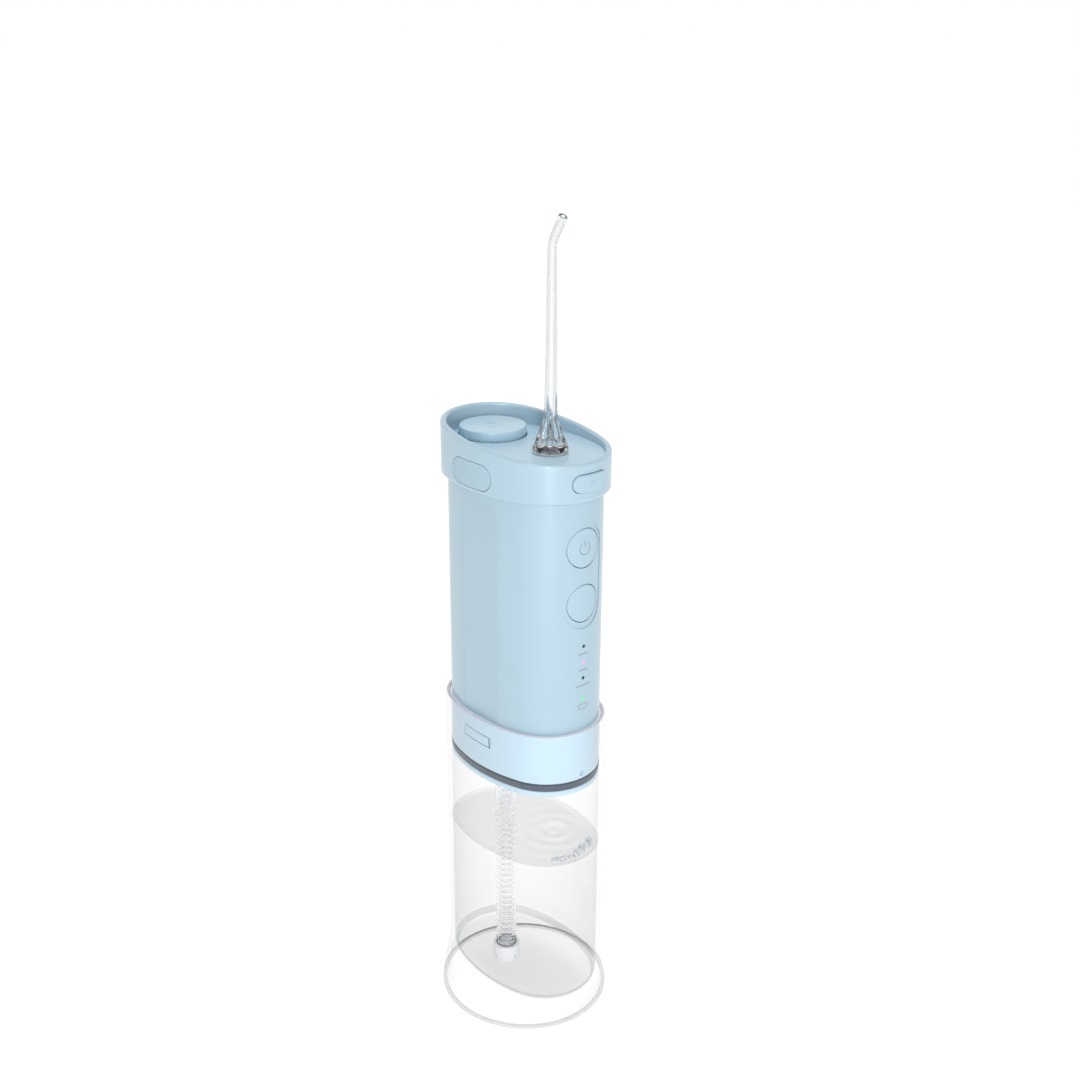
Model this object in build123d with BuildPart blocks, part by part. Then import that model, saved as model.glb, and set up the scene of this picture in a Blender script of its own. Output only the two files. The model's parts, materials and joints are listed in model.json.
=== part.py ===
from build123d import *
from math import cos, hypot, radians, sin
import os

# Telescoping water flosser, standing on its foot with the handle pulled out.
# Millimetres, +Z up, origin at the centre of the foot's underside. The buttons face -Y.

# ---------------------------------------------------------------- driving dimensions
# The whole body shares one oval, long along Y. Everything else is that oval moved in by an inset.
HALF_LENGTH, HALF_WIDTH, NOSE_RADIUS = 31.0, 21.76, 20.0

# Reservoir
TANK_WALL, TANK_FLOOR = 1.8, 2.0
TANK_LOW, TANK_RIM = 7.4, 112.7
FLOOR_TOP = TANK_LOW + TANK_FLOOR
FOOT_LENGTH, FOOT_WIDTH, FOOT_NOSE = 30.37, 29.38, 28.5
SKIRT_TOP, SKIRT_WALL, SKIRT_MIDDLE = 14.0, 1.6, 23.8
RING_THICK, RING_GAP = 1.0, 0.15

# Collar that slides in the reservoir
COLLAR_INSET, SEAL_INSET = 2.05, 1.9
COLLAR_LOW, COLLAR_TOP = 89.9, 112.5
SEAL_LOW, SEAL_TOP, SEAL_DEPTH = 91.8, 94.8, 3.0
BEAD_LOW, BEAD_TALL = 93.0, 1.1
COLLAR_WALL, COLLAR_PLATE = 3.0, 6.5
SPIGOT_TALL = 1.4
LATCH_LOW, LATCH_HIGH, LATCH_FRONT, LATCH_REAR = 103.0, 106.3, -4.2, 8.6
LATCH_GAP, LATCH_SLOT, LATCH_DEPTH = 0.3, 1.1, 3.3
VENT_Z, VENT_RADIUS = 96.5, 0.9
COLLAR_SCREW_Y = 19.0

# Suction hose and its filter
HOSE_X, HOSE_Y = -5.0, 4.0
HOSE_RADIUS, HOSE_BORE = 3.6, 2.4
FILTER_RADIUS, FILTER_TOP = 4.8, 15.0
POCKET_RADIUS, POCKET_WALL, POCKET_TOP = 5.4, 1.6, 108.0
BARB_RADIUS, BARB_BORE, BARB_LOW, BARB_LENGTH = 2.25, 1.2, 104.0, 9.0

# Handle
HANDLE_INSET, HANDLE_WALL = 2.14, 1.8
HEAD_LOW, HEAD_FLANGE, HEAD_WALL = 191.15, 2.0, 2.0
RIM_MIDDLE, RIM_SLOPE = 206.6, 0.102
DECK_TOP, DECK_THICK = 202.7, 2.0
GRIP_X, GRIP_HALF, GRIP_TOP, GRIP_CORNER = 18.85, 8.6, 187.5, 4.0

# Controls on the front nose
POWER_Z, POWER_HOLE = 175.5, 6.6
MODE_Z, MODE_HOLE = 157.0, 6.4
BUTTON_GAP, BUTTON_INSET = 0.22, 2.27
BUTTON_BACK, STEM_BACK, STEM_RADIUS = 24.2, 22.9, 2.0
PAD_HALF, PAD_BOTTOM, PAD_TOP, PAD_DEPTH = 8.0, 148.5, 183.5, 0.25
MODE_LIGHTS = (142.3, 136.7, 131.2)
CHARGE_LIGHT = 123.7
LIGHT_RADIUS = 0.6

# Head: nozzle, release button, storage cap, charging port
NOZZLE_Y, NOZZLE_LOW = -12.3, 190.5
STEM_BORE, STEM_OUTER = 3.1, 3.0
TURRET_RADIUS, TURRET_FLANGE, TURRET_LOW = 4.45, 6.0, 188.3
FLANGE_LOW, FLANGE_TALL = 196.6, 3.7
STEM_GROOVE, GROOVE_LOW, GROOVE_TOP = 2.3, 193.0, 194.4
BELL_LIP, BELL_WIDEST, BELL_WIDE_Z, BELL_TOP_Z = 5.2, 5.65, 204.0, 205.0
WAIST_RADIUS, WAIST_Z, SHAFT_RADIUS, JET_RADIUS = 2.0, 214.8, 1.35, 0.45
BEND_Z, BEND_ANGLE, BEND_RADIUS, TIP_LENGTH = 265.5, 30.0, 6.0, 10.9
RELEASE_Z, RELEASE_LENGTH, RELEASE_HEIGHT, RELEASE_PROUD = 197.5, 13.5, 5.6, 0.8
FORK_LOW, FORK_THICK, FORK_FRONT, FORK_REACH, FORK_SPREAD = 194.6, 1.4, -26.0, 21.0, 6.0
CAP_Y, CAP_RADIUS, CAP_GAP, CAP_LOW, CAP_TOP = 16.0, 11.0, 0.3, 201.2, 206.0
PLUG_LOW, PLUG_GROOVE, GROOVE_TALL = 194.5, 196.6, 1.6
BAY_RADIUS, BAY_OUTER, BAY_FLOOR = 7.5, 9.0, 118.0
PORT_Y, PORT_Z, PORT_LENGTH, PORT_HEIGHT = 1.0, 196.8, 19.0, 8.3
PORT_FLOOR, PORT_GAP = 19.85, 0.2
HINGE_X, HINGE_Y, HINGE_RADIUS, HINGE_HALF = -20.6, 10.4, 0.38, 0.9

# Drive: motor, gears and pump, all in the front half of the handle
MOTOR_Y, MOTOR_Z, MOTOR_RADIUS = -8.0, 124.0, 7.5
MOTOR_BACK, MOTOR_LENGTH, SHAFT_BACK, SHAFT_LENGTH = -14.5, 19.0, -5.5, 18.0
FRAME_X, FRAME_THICK, FRAME_LENGTH, FRAME_MIDDLE = 13.0, 1.8, 62.0, 146.0
GEAR_MODULE, PINION_TEETH, GEAR_TEETH = 0.5, 12, 36
GEAR_SPACING = GEAR_MODULE * (PINION_TEETH + GEAR_TEETH) / 2 + 0.1
GEAR_Z = MOTOR_Z + GEAR_SPACING
GEAR_X, GEAR_THICK = 9.0, 3.0
CRANK_THROW = 3.0
PUMP_X, PUMP_BORE, PUMP_OUTER = 7.15, 4.0, 5.5
PUMP_LOW, PUMP_TOP, VALVE_TOP, VALVE_SIZE = 148.0, 170.0, 178.0, 11.0
BATTERY_X, BATTERY_Y, BATTERY_RADIUS, BATTERY_LOW = -8.0, -6.0, 7.0, 133.0
BATTERY_LENGTH = 50.0
BOARD_FRONT, BOARD_THICK, BOARD_MIDDLE, BOARD_WIDTH, BOARD_LENGTH = 20.2, 1.6, 153.0, 22.0, 66.0
TUBE_RADIUS, TUBE_WALL, TUBE_TURN_Z, SEAT_LOW = 1.6, 0.7, 183.2, 186.0

parts = {}


def keep(part, label):
    """Name a finished piece and remember it for export."""
    part.label = label
    parts[label] = part


def oval(height, half_length, half_width, nose_radius):
    """A level face bounded by four tangent arcs: two noses on Y and two long sides."""
    nose_y = half_length - nose_radius
    side_radius = (nose_y**2 + half_width**2 - nose_radius**2) / (2 * (half_width - nose_radius))
    side_x = side_radius - half_width
    reach = side_radius / hypot(side_x, nose_y)
    join_x, join_y = side_x * reach - side_x, nose_y * reach
    with BuildSketch(Plane.XY.offset(height)) as section:
        with BuildLine():
            ThreePointArc((join_x, -join_y), (half_width, 0), (join_x, join_y))
            ThreePointArc((join_x, join_y), (0, half_length), (-join_x, join_y))
            ThreePointArc((-join_x, join_y), (-half_width, 0), (-join_x, -join_y))
            ThreePointArc((-join_x, -join_y), (0, -half_length), (join_x, -join_y))
        make_face()
    return section.sketch


def body_oval(height, inset):
    """The body's oval moved in by an inset, at a height."""
    return oval(height, HALF_LENGTH - inset, HALF_WIDTH - inset, NOSE_RADIUS - inset)


def disc(height, x, y, radius):
    """A level round face."""
    with BuildSketch(Plane.XY.offset(height)) as section:
        with Locations((x, y)):
            Circle(radius)
    return section.sketch


def front_disc(depth, height, radius):
    """A round face across Y, at y = -depth and x = 0."""
    with BuildSketch(Plane.XZ.offset(depth)) as section:
        with Locations((0, height)):
            Circle(radius)
    return section.sketch


def front_slot(depth, height, length, width, turn=0):
    """A stadium face across Y, at y = -depth and x = 0."""
    with BuildSketch(Plane.XZ.offset(depth)) as section:
        with Locations((0, height)):
            SlotOverall(length, width, rotation=turn)
    return section.sketch


def side_slot(x, y, height, length, width):
    """A stadium face across X."""
    with BuildSketch(Plane.YZ.offset(x)) as section:
        with Locations((y, height)):
            SlotOverall(length, width)
    return section.sketch


# ---------------------------------------------------------------- reservoir
with BuildPart() as reservoir:
    # The flared skirt of the foot, open underneath
    loft([oval(RING_THICK, FOOT_LENGTH, FOOT_WIDTH, FOOT_NOSE).face(), body_oval(SKIRT_TOP, 0.1).face()])
    inner_length, inner_width = FOOT_LENGTH - SKIRT_WALL, FOOT_WIDTH - SKIRT_WALL
    loft(
        [
            oval(RING_THICK, inner_length, inner_width, FOOT_NOSE - SKIRT_WALL).face(),
            oval(TANK_LOW, HALF_LENGTH - SKIRT_WALL, SKIRT_MIDDLE, SKIRT_MIDDLE - 2).face(),
        ],
        mode=Mode.SUBTRACT,
    )
    # The cup, moulded in one with the skirt
    extrude(body_oval(TANK_LOW, 0), amount=TANK_RIM - TANK_LOW)
    extrude(body_oval(FLOOR_TOP, TANK_WALL), amount=TANK_RIM - FLOOR_TOP, mode=Mode.SUBTRACT)
    fillet(reservoir.edges().filter_by_position(Axis.Z, FLOOR_TOP - 0.01, FLOOR_TOP + 0.01), radius=2.0)
    fillet(reservoir.edges().group_by(Axis.Z)[-1], radius=0.4)
keep(reservoir.part, "reservoir")

with BuildPart() as foot_ring:
    outer = oval(0, FOOT_LENGTH - RING_GAP, FOOT_WIDTH - RING_GAP, FOOT_NOSE - RING_GAP)
    extrude(outer, amount=RING_THICK)
    inner = SKIRT_WALL - RING_GAP
    extrude(
        oval(0, FOOT_LENGTH - inner, FOOT_WIDTH - inner, FOOT_NOSE - inner),
        amount=RING_THICK,
        mode=Mode.SUBTRACT,
    )
keep(foot_ring.part, "foot_ring")

# The filter stands on the tank floor, and the expanding hose rises from it into the collar.
with BuildPart() as hose_filter:
    extrude(disc(FLOOR_TOP, HOSE_X, HOSE_Y, FILTER_RADIUS), amount=FILTER_TOP - FLOOR_TOP)
    fillet(hose_filter.edges().group_by(Axis.Z)[-1], radius=0.8)
    with BuildSketch(Plane.XY.offset(FLOOR_TOP)):
        with Locations((HOSE_X, HOSE_Y)):
            Rectangle(2 * FILTER_RADIUS + 1, 1.0)
            Rectangle(1.0, 2 * FILTER_RADIUS + 1)
    extrude(amount=2.0, mode=Mode.SUBTRACT)
keep(hose_filter.part, "hose_filter")

with BuildPart() as suction_hose:
    extrude(disc(FILTER_TOP, HOSE_X, HOSE_Y, HOSE_RADIUS), amount=POCKET_TOP - 0.6 - FILTER_TOP)
    extrude(disc(FILTER_TOP, HOSE_X, HOSE_Y, HOSE_BORE), amount=POCKET_TOP, mode=Mode.SUBTRACT)
keep(suction_hose.part, "suction_hose")

# ---------------------------------------------------------------- collar
with BuildPart() as base_collar:
    extrude(body_oval(COLLAR_LOW, COLLAR_INSET), amount=COLLAR_TOP - COLLAR_LOW)
    fillet(base_collar.edges().group_by(Axis.Z)[0], radius=0.6)
    spigot = HANDLE_INSET + HANDLE_WALL + 0.05
    extrude(body_oval(COLLAR_TOP, spigot), amount=SPIGOT_TALL)
    plate_top = COLLAR_LOW + COLLAR_PLATE
    extrude(
        body_oval(plate_top, COLLAR_INSET + COLLAR_WALL),
        amount=COLLAR_TOP + SPIGOT_TALL - plate_top,
        mode=Mode.SUBTRACT,
    )
    extrude(
        disc(plate_top, HOSE_X, HOSE_Y, POCKET_RADIUS + POCKET_WALL),
        amount=POCKET_TOP + POCKET_WALL - plate_top,
    )
    extrude(disc(COLLAR_LOW, HOSE_X, HOSE_Y, POCKET_RADIUS), amount=POCKET_TOP - COLLAR_LOW, mode=Mode.SUBTRACT)
    extrude(disc(POCKET_TOP, HOSE_X, HOSE_Y, BARB_RADIUS), amount=POCKET_WALL, mode=Mode.SUBTRACT)
    # Seal groove
    with BuildSketch(Plane.XY.offset(SEAL_LOW)):
        add(body_oval(0, 0))
        add(body_oval(0, COLLAR_INSET + SEAL_DEPTH), mode=Mode.SUBTRACT)
    extrude(amount=SEAL_TOP - SEAL_LOW, mode=Mode.SUBTRACT)
    # Latch windows in the two flat sides, with a wider slot at the front end
    window_front, window_rear = LATCH_FRONT - LATCH_SLOT, LATCH_REAR + LATCH_GAP
    with BuildSketch(Plane.YZ):
        with Locations(((window_front + window_rear) / 2, (LATCH_LOW + LATCH_HIGH) / 2)):
            Rectangle(window_rear - window_front, LATCH_HIGH - LATCH_LOW + 2 * LATCH_GAP)
    extrude(amount=HALF_WIDTH, both=True, mode=Mode.SUBTRACT)
    # Vent on the nose and two screw holes from below
    extrude(front_disc(HALF_LENGTH - COLLAR_INSET - 1.0, VENT_Z, VENT_RADIUS), amount=3, mode=Mode.SUBTRACT)
    with Locations(*[Location((0, side * COLLAR_SCREW_Y, COLLAR_LOW), (180, 0, 0)) for side in (-1, 1)]):
        CounterBoreHole(1.05, 2.2, 1.6, COLLAR_PLATE)
keep(base_collar.part, "base_collar")

with BuildPart() as collar_seal:
    extrude(body_oval(SEAL_LOW + 0.1, COLLAR_INSET + 0.35), amount=SEAL_TOP - SEAL_LOW - 0.2)
    extrude(body_oval(BEAD_LOW, SEAL_INSET), amount=BEAD_TALL)
    extrude(
        body_oval(SEAL_LOW, COLLAR_INSET + SEAL_DEPTH),
        amount=SEAL_TOP - SEAL_LOW,
        mode=Mode.SUBTRACT,
    )
keep(collar_seal.part, "collar_seal")

with BuildPart() as collar_screws:
    for side in (-1, 1):
        extrude(disc(COLLAR_LOW + 0.4, 0, side * COLLAR_SCREW_Y, 2.0), amount=1.2)
        extrude(disc(COLLAR_LOW + 1.6, 0, side * COLLAR_SCREW_Y, 1.0), amount=7.0)
        with BuildSketch(Plane.XY.offset(COLLAR_LOW + 0.4)):
            with Locations((0, side * COLLAR_SCREW_Y)):
                Rectangle(2.4, 0.5)
                Rectangle(0.5, 2.4)
        extrude(amount=0.7, mode=Mode.SUBTRACT)
keep(collar_screws.part, "collar_screws")


def collar_latch(side):
    """A sprung pawl that fills the window in one flat side of the collar."""
    with BuildPart() as latch:
        with BuildSketch(Plane.XY.offset(LATCH_LOW)):
            add(body_oval(0, COLLAR_INSET))
            with Locations((side * (HALF_WIDTH - COLLAR_INSET), (LATCH_FRONT + LATCH_REAR) / 2)):
                Rectangle(2 * LATCH_DEPTH, LATCH_REAR - LATCH_FRONT, mode=Mode.INTERSECT)
        extrude(amount=LATCH_HIGH - LATCH_LOW)
    return latch.part


keep(collar_latch(-1), "collar_latch_left")
keep(collar_latch(1), "collar_latch_right")

with BuildPart() as hose_barb:
    extrude(disc(BARB_LOW, HOSE_X, HOSE_Y, BARB_RADIUS), amount=BARB_LENGTH)
    extrude(disc(BARB_LOW, HOSE_X, HOSE_Y, BARB_BORE), amount=BARB_LENGTH, mode=Mode.SUBTRACT)
keep(hose_barb.part, "hose_barb")

# ---------------------------------------------------------------- handle shell
with BuildPart() as pad_cutter:
    pad_height = PAD_TOP - PAD_BOTTOM
    extrude(front_slot(20, (PAD_TOP + PAD_BOTTOM) / 2, pad_height, 2 * PAD_HALF, 90), amount=15)
    extrude(
        body_oval(PAD_BOTTOM - 5, HANDLE_INSET + PAD_DEPTH),
        amount=pad_height + 10,
        mode=Mode.SUBTRACT,
    )

with BuildPart() as handle_shell:
    shell_height = HEAD_LOW - COLLAR_TOP
    extrude(body_oval(COLLAR_TOP, HANDLE_INSET), amount=shell_height)
    # A flat grip facet down each long side, with a round-cornered top
    for side in (-1, 1):
        with BuildSketch(Plane.YZ.offset(side * GRIP_X)) as facet:
            with Locations((0, (COLLAR_TOP + GRIP_TOP) / 2)):
                Rectangle(2 * GRIP_HALF, GRIP_TOP - COLLAR_TOP)
            fillet(facet.vertices().group_by(Axis.Y)[-1], radius=GRIP_CORNER)
        extrude(amount=side * 5, mode=Mode.SUBTRACT)
    add(pad_cutter.part, mode=Mode.SUBTRACT)
    extrude(body_oval(COLLAR_TOP, HANDLE_INSET + HANDLE_WALL), amount=shell_height, mode=Mode.SUBTRACT)
    extrude(front_disc(20, POWER_Z, POWER_HOLE), amount=15, mode=Mode.SUBTRACT)
    extrude(front_disc(20, MODE_Z, MODE_HOLE), amount=15, mode=Mode.SUBTRACT)
    for height in MODE_LIGHTS + (CHARGE_LIGHT,):
        extrude(front_disc(20, height, LIGHT_RADIUS), amount=15, mode=Mode.SUBTRACT)
keep(handle_shell.part, "handle_shell")


def front_button(height, hole_radius):
    """A round push button whose face follows the nose of the handle, with a stem for its switch."""
    with BuildPart() as button:
        extrude(front_disc(BUTTON_BACK, height, hole_radius - BUTTON_GAP), amount=10)
        extrude(body_oval(height - 10, BUTTON_INSET), amount=20, mode=Mode.INTERSECT)
        fillet(button.edges().sort_by(Axis.Y)[0], radius=0.35)
        extrude(front_disc(STEM_BACK, height, STEM_RADIUS), amount=BUTTON_BACK - STEM_BACK)
    return button.part


keep(front_button(POWER_Z, POWER_HOLE), "power_button")
keep(front_button(MODE_Z, MODE_HOLE), "mode_button")


def light_pipes(heights):
    """Short clear rods from the circuit board to the nose of the handle."""
    with BuildPart() as pipes:
        for height in heights:
            extrude(front_disc(21.8, height, LIGHT_RADIUS - 0.02), amount=8)
        extrude(body_oval(MODE_LIGHTS[-1] - 20, HANDLE_INSET + 0.1), amount=50, mode=Mode.INTERSECT)
    return pipes.part


keep(light_pipes(MODE_LIGHTS), "mode_lights")
keep(light_pipes((CHARGE_LIGHT,)), "charge_light")

# ---------------------------------------------------------------- head
rim_plane = Plane(origin=(0, 0, RIM_MIDDLE), x_dir=(1, 0, 0), z_dir=(0, -RIM_SLOPE, 1))

with BuildPart() as head_shell:
    extrude(body_oval(HEAD_LOW, 0), amount=25)
    extrude(body_oval(HEAD_LOW + HEAD_FLANGE, HEAD_WALL), amount=25, mode=Mode.SUBTRACT)
    # Boss that backs the charging port, inside the left wall
    with BuildSketch(Plane.XY.offset(HEAD_LOW + HEAD_FLANGE)):
        add(body_oval(0, HEAD_WALL - 0.2))
        with Locations((-HALF_WIDTH, PORT_Y)):
            Rectangle(9.0, PORT_LENGTH + 3, mode=Mode.INTERSECT)
    extrude(amount=DECK_TOP - DECK_THICK - HEAD_LOW - HEAD_FLANGE)
    extrude(body_oval(HEAD_LOW, HANDLE_INSET + HANDLE_WALL), amount=HEAD_FLANGE, mode=Mode.SUBTRACT)
    split(bisect_by=rim_plane, keep=Keep.BOTTOM)
    rim_edges = head_shell.edges().filter_by(lambda edge: edge.center().Z > DECK_TOP + 0.5)
    fillet(rim_edges, radius=0.75)
    fillet(head_shell.edges().group_by(Axis.Z)[0].sort_by(SortBy.LENGTH)[-4:], radius=1.2)
    # Recess for the port cover, hole for the socket, hole for the release button
    port_length, port_height = PORT_LENGTH + 2 * PORT_GAP, PORT_HEIGHT + 2 * PORT_GAP
    extrude(side_slot(-PORT_FLOOR, PORT_Y, PORT_Z, port_length, port_height), amount=-6, mode=Mode.SUBTRACT)
    extrude(side_slot(-PORT_FLOOR - 1, PORT_Y, PORT_Z, 9.1, 3.3), amount=6, mode=Mode.SUBTRACT)
    extrude(
        disc(PORT_Z - HINGE_HALF - 0.2, HINGE_X, HINGE_Y, HINGE_RADIUS + 0.12),
        amount=2 * HINGE_HALF + 0.4,
        mode=Mode.SUBTRACT,
    )
    extrude(
        front_slot(25, RELEASE_Z, RELEASE_LENGTH + 0.4, RELEASE_HEIGHT + 0.4),
        amount=10,
        mode=Mode.SUBTRACT,
    )
keep(head_shell.part, "head_shell")

with BuildPart() as top_deck:
    extrude(body_oval(DECK_TOP - DECK_THICK, HEAD_WALL + 0.03), amount=DECK_THICK)
    extrude(disc(DECK_TOP - DECK_THICK, 0, CAP_Y, CAP_RADIUS + CAP_GAP), amount=5, mode=Mode.SUBTRACT)
    extrude(disc(DECK_TOP - DECK_THICK, 0, NOZZLE_Y, TURRET_RADIUS + 0.15), amount=5, mode=Mode.SUBTRACT)
keep(top_deck.part, "top_deck")

with BuildPart() as storage_tube:
    bay_top = DECK_TOP - DECK_THICK
    extrude(disc(BAY_FLOOR, 0, CAP_Y, BAY_OUTER), amount=bay_top - BAY_FLOOR)
    extrude(disc(bay_top - 1.8, 0, CAP_Y, CAP_RADIUS + 1.6), amount=1.8)
    extrude(disc(BAY_FLOOR + 1.5, 0, CAP_Y, BAY_RADIUS), amount=bay_top, mode=Mode.SUBTRACT)
keep(storage_tube.part, "storage_tube")

with BuildPart() as storage_cap:
    extrude(disc(CAP_LOW, 0, CAP_Y, CAP_RADIUS), amount=CAP_TOP - CAP_LOW)
    fillet(storage_cap.edges().group_by(Axis.Z)[-1], radius=0.5)
    extrude(disc(PLUG_LOW, 0, CAP_Y, BAY_RADIUS - 0.5), amount=7)
    extrude(disc(PLUG_LOW, 0, CAP_Y, BAY_RADIUS - 2.0), amount=5, mode=Mode.SUBTRACT)
    with BuildSketch(Plane.XY.offset(PLUG_GROOVE)):
        with Locations((0, CAP_Y)):
            Circle(BAY_RADIUS)
            Circle(BAY_RADIUS - 1.35, mode=Mode.SUBTRACT)
    extrude(amount=GROOVE_TALL, mode=Mode.SUBTRACT)
keep(storage_cap.part, "storage_cap")

with BuildPart() as cap_ring:
    with BuildSketch(Plane.XZ):
        with Locations((BAY_RADIUS - 0.72, PLUG_GROOVE + GROOVE_TALL / 2)):
            Circle(0.62)
    revolve(axis=Axis.Z)
keep(Pos(0, CAP_Y, 0) * cap_ring.part, "cap_ring")

# ---------------------------------------------------------------- nozzle and its turret
with BuildPart() as nozzle_turret:
    extrude(disc(TURRET_LOW, 0, NOZZLE_Y, TURRET_RADIUS), amount=DECK_TOP - 0.2 - TURRET_LOW)
    extrude(disc(FLANGE_LOW, 0, NOZZLE_Y, TURRET_FLANGE), amount=FLANGE_TALL)
    extrude(disc(TURRET_LOW + 1.6, 0, NOZZLE_Y, STEM_BORE), amount=20, mode=Mode.SUBTRACT)
    extrude(disc(TURRET_LOW, 0, NOZZLE_Y, 1.2), amount=3, mode=Mode.SUBTRACT)
keep(nozzle_turret.part, "nozzle_turret")

with BuildPart() as nozzle:
    with BuildSketch(Plane(origin=(0, NOZZLE_Y, 0), x_dir=(1, 0, 0), z_dir=(0, -1, 0))):
        with BuildLine():
            Line((0, NOZZLE_LOW), (STEM_OUTER - 0.5, NOZZLE_LOW))
            Line((STEM_OUTER - 0.5, NOZZLE_LOW), (STEM_OUTER, NOZZLE_LOW + 0.5))
            Line((STEM_OUTER, NOZZLE_LOW + 0.5), (STEM_OUTER, GROOVE_LOW))
            Line((STEM_OUTER, GROOVE_LOW), (STEM_GROOVE, GROOVE_LOW))
            Line((STEM_GROOVE, GROOVE_LOW), (STEM_GROOVE, GROOVE_TOP))
            Line((STEM_GROOVE, GROOVE_TOP), (STEM_OUTER, GROOVE_TOP))
            Line((STEM_OUTER, GROOVE_TOP), (STEM_OUTER, DECK_TOP + 0.2))
            Line((STEM_OUTER, DECK_TOP + 0.2), (BELL_LIP, DECK_TOP + 0.2))
            ThreePointArc((BELL_LIP, DECK_TOP + 0.2), (BELL_WIDEST, BELL_WIDE_Z), (BELL_LIP, BELL_TOP_Z))
            Spline(
                (BELL_LIP, BELL_TOP_Z),
                (3.6, (BELL_TOP_Z + WAIST_Z) / 2 - 0.4),
                (WAIST_RADIUS, WAIST_Z),
                tangents=((-0.5, 1), (-0.05, 1)),
            )
            Line((WAIST_RADIUS, WAIST_Z), (SHAFT_RADIUS, BEND_Z - 2))
            Line((SHAFT_RADIUS, BEND_Z - 2), (0, BEND_Z - 2))
            Line((0, BEND_Z - 2), (0, NOZZLE_LOW))
        make_face()
    revolve(axis=Axis(origin=(0, NOZZLE_Y, 0), direction=(0, 0, 1)))
    # Bent tip, leaning towards the front
    lean, half_lean = radians(BEND_ANGLE), radians(BEND_ANGLE / 2)
    bend_y = NOZZLE_Y - BEND_RADIUS
    bend_middle = (0, bend_y + BEND_RADIUS * cos(half_lean), BEND_Z + BEND_RADIUS * sin(half_lean))
    bend_end = (0, bend_y + BEND_RADIUS * cos(lean), BEND_Z + BEND_RADIUS * sin(lean))
    straight = TIP_LENGTH - BEND_RADIUS * lean
    tip_end = (0, bend_end[1] - straight * sin(lean), bend_end[2] + straight * cos(lean))
    with BuildLine() as tip_path:
        Line((0, NOZZLE_Y, BEND_Z - 2), (0, NOZZLE_Y, BEND_Z))
        ThreePointArc((0, NOZZLE_Y, BEND_Z), bend_middle, bend_end)
        Line(bend_end, tip_end)
    with BuildSketch(Plane(origin=(0, NOZZLE_Y, BEND_Z - 2))):
        Circle(SHAFT_RADIUS)
    sweep(path=tip_path.wire())
    # Water channel at the tip
    with BuildSketch(Plane(origin=tip_end, z_dir=(0, -sin(lean), cos(lean)))):
        Circle(JET_RADIUS)
    extrude(amount=-4, mode=Mode.SUBTRACT)
keep(nozzle.part, "nozzle")

with BuildPart() as nozzle_ring:
    with BuildSketch(Plane.XZ):
        with Locations((STEM_GROOVE + 0.38, (GROOVE_LOW + GROOVE_TOP) / 2)):
            Circle(0.36)
    revolve(axis=Axis.Z)
keep(Pos(0, NOZZLE_Y, 0) * nozzle_ring.part, "nozzle_ring")

# ---------------------------------------------------------------- release button and its latch fork
with BuildPart() as release_button:
    extrude(front_slot(27.0, RELEASE_Z, RELEASE_LENGTH, RELEASE_HEIGHT), amount=8)
    extrude(body_oval(HEAD_LOW, -RELEASE_PROUD), amount=15, mode=Mode.INTERSECT)
    fillet(release_button.faces().sort_by(Axis.Y)[0].edges(), radius=0.5)
keep(release_button.part, "release_button")

with BuildPart() as latch_fork:
    with BuildSketch(Plane.XY.offset(FORK_LOW)):
        with Locations((0, FORK_FRONT)):
            Rectangle(2 * FORK_SPREAD + 2, 2.0)
        for side in (-1, 1):
            with Locations((side * FORK_SPREAD, FORK_FRONT + FORK_REACH / 2)):
                Rectangle(2.0, FORK_REACH)
    extrude(amount=FORK_THICK)
keep(latch_fork.part, "latch_fork")

# ---------------------------------------------------------------- charging port
with BuildPart() as port_cover:
    extrude(side_slot(-PORT_FLOOR - 0.1, PORT_Y, PORT_Z, PORT_LENGTH, PORT_HEIGHT), amount=-5)
    extrude(body_oval(HEAD_LOW, 0.02), amount=15, mode=Mode.INTERSECT)
    # Hinge barrel at the rear end
    extrude(disc(PORT_Z - HINGE_HALF, HINGE_X, HINGE_Y, HINGE_RADIUS), amount=2 * HINGE_HALF)
keep(port_cover.part, "port_cover")

with BuildPart() as usb_socket:
    extrude(side_slot(-PORT_FLOOR, PORT_Y, PORT_Z, 9.0, 3.2), amount=6.8)
    extrude(side_slot(-PORT_FLOOR, PORT_Y, PORT_Z, 8.4, 2.6), amount=6.0, mode=Mode.SUBTRACT)
    with BuildSketch(Plane.YZ.offset(-PORT_FLOOR + 0.8)):
        with Locations((PORT_Y, PORT_Z)):
            Rectangle(6.6, 0.7)
    extrude(amount=6.0)
keep(usb_socket.part, "usb_socket")

# ---------------------------------------------------------------- electronics
with BuildPart() as circuit_board:
    with BuildSketch(Plane.XZ.offset(BOARD_FRONT - BOARD_THICK)):
        with Locations((0, BOARD_MIDDLE)):
            RectangleRounded(BOARD_WIDTH, BOARD_LENGTH, 1.5)
    extrude(amount=BOARD_THICK)
keep(circuit_board.part, "circuit_board")

with BuildPart() as tact_switches:
    for height in (POWER_Z, MODE_Z):
        with BuildSketch(Plane.XZ.offset(BOARD_FRONT)):
            with Locations((0, height)):
                RectangleRounded(6, 6, 0.5)
        extrude(amount=1.2)
        extrude(front_disc(BOARD_FRONT + 1.2, height, 1.6), amount=0.4)
keep(tact_switches.part, "tact_switches")

with BuildPart() as battery:
    extrude(disc(BATTERY_LOW, BATTERY_X, BATTERY_Y, BATTERY_RADIUS), amount=BATTERY_LENGTH - 1)
    fillet(battery.edges(), radius=0.6)
    extrude(disc(BATTERY_LOW + BATTERY_LENGTH - 1, BATTERY_X, BATTERY_Y, 2.5), amount=1)
keep(battery.part, "battery")

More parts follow.
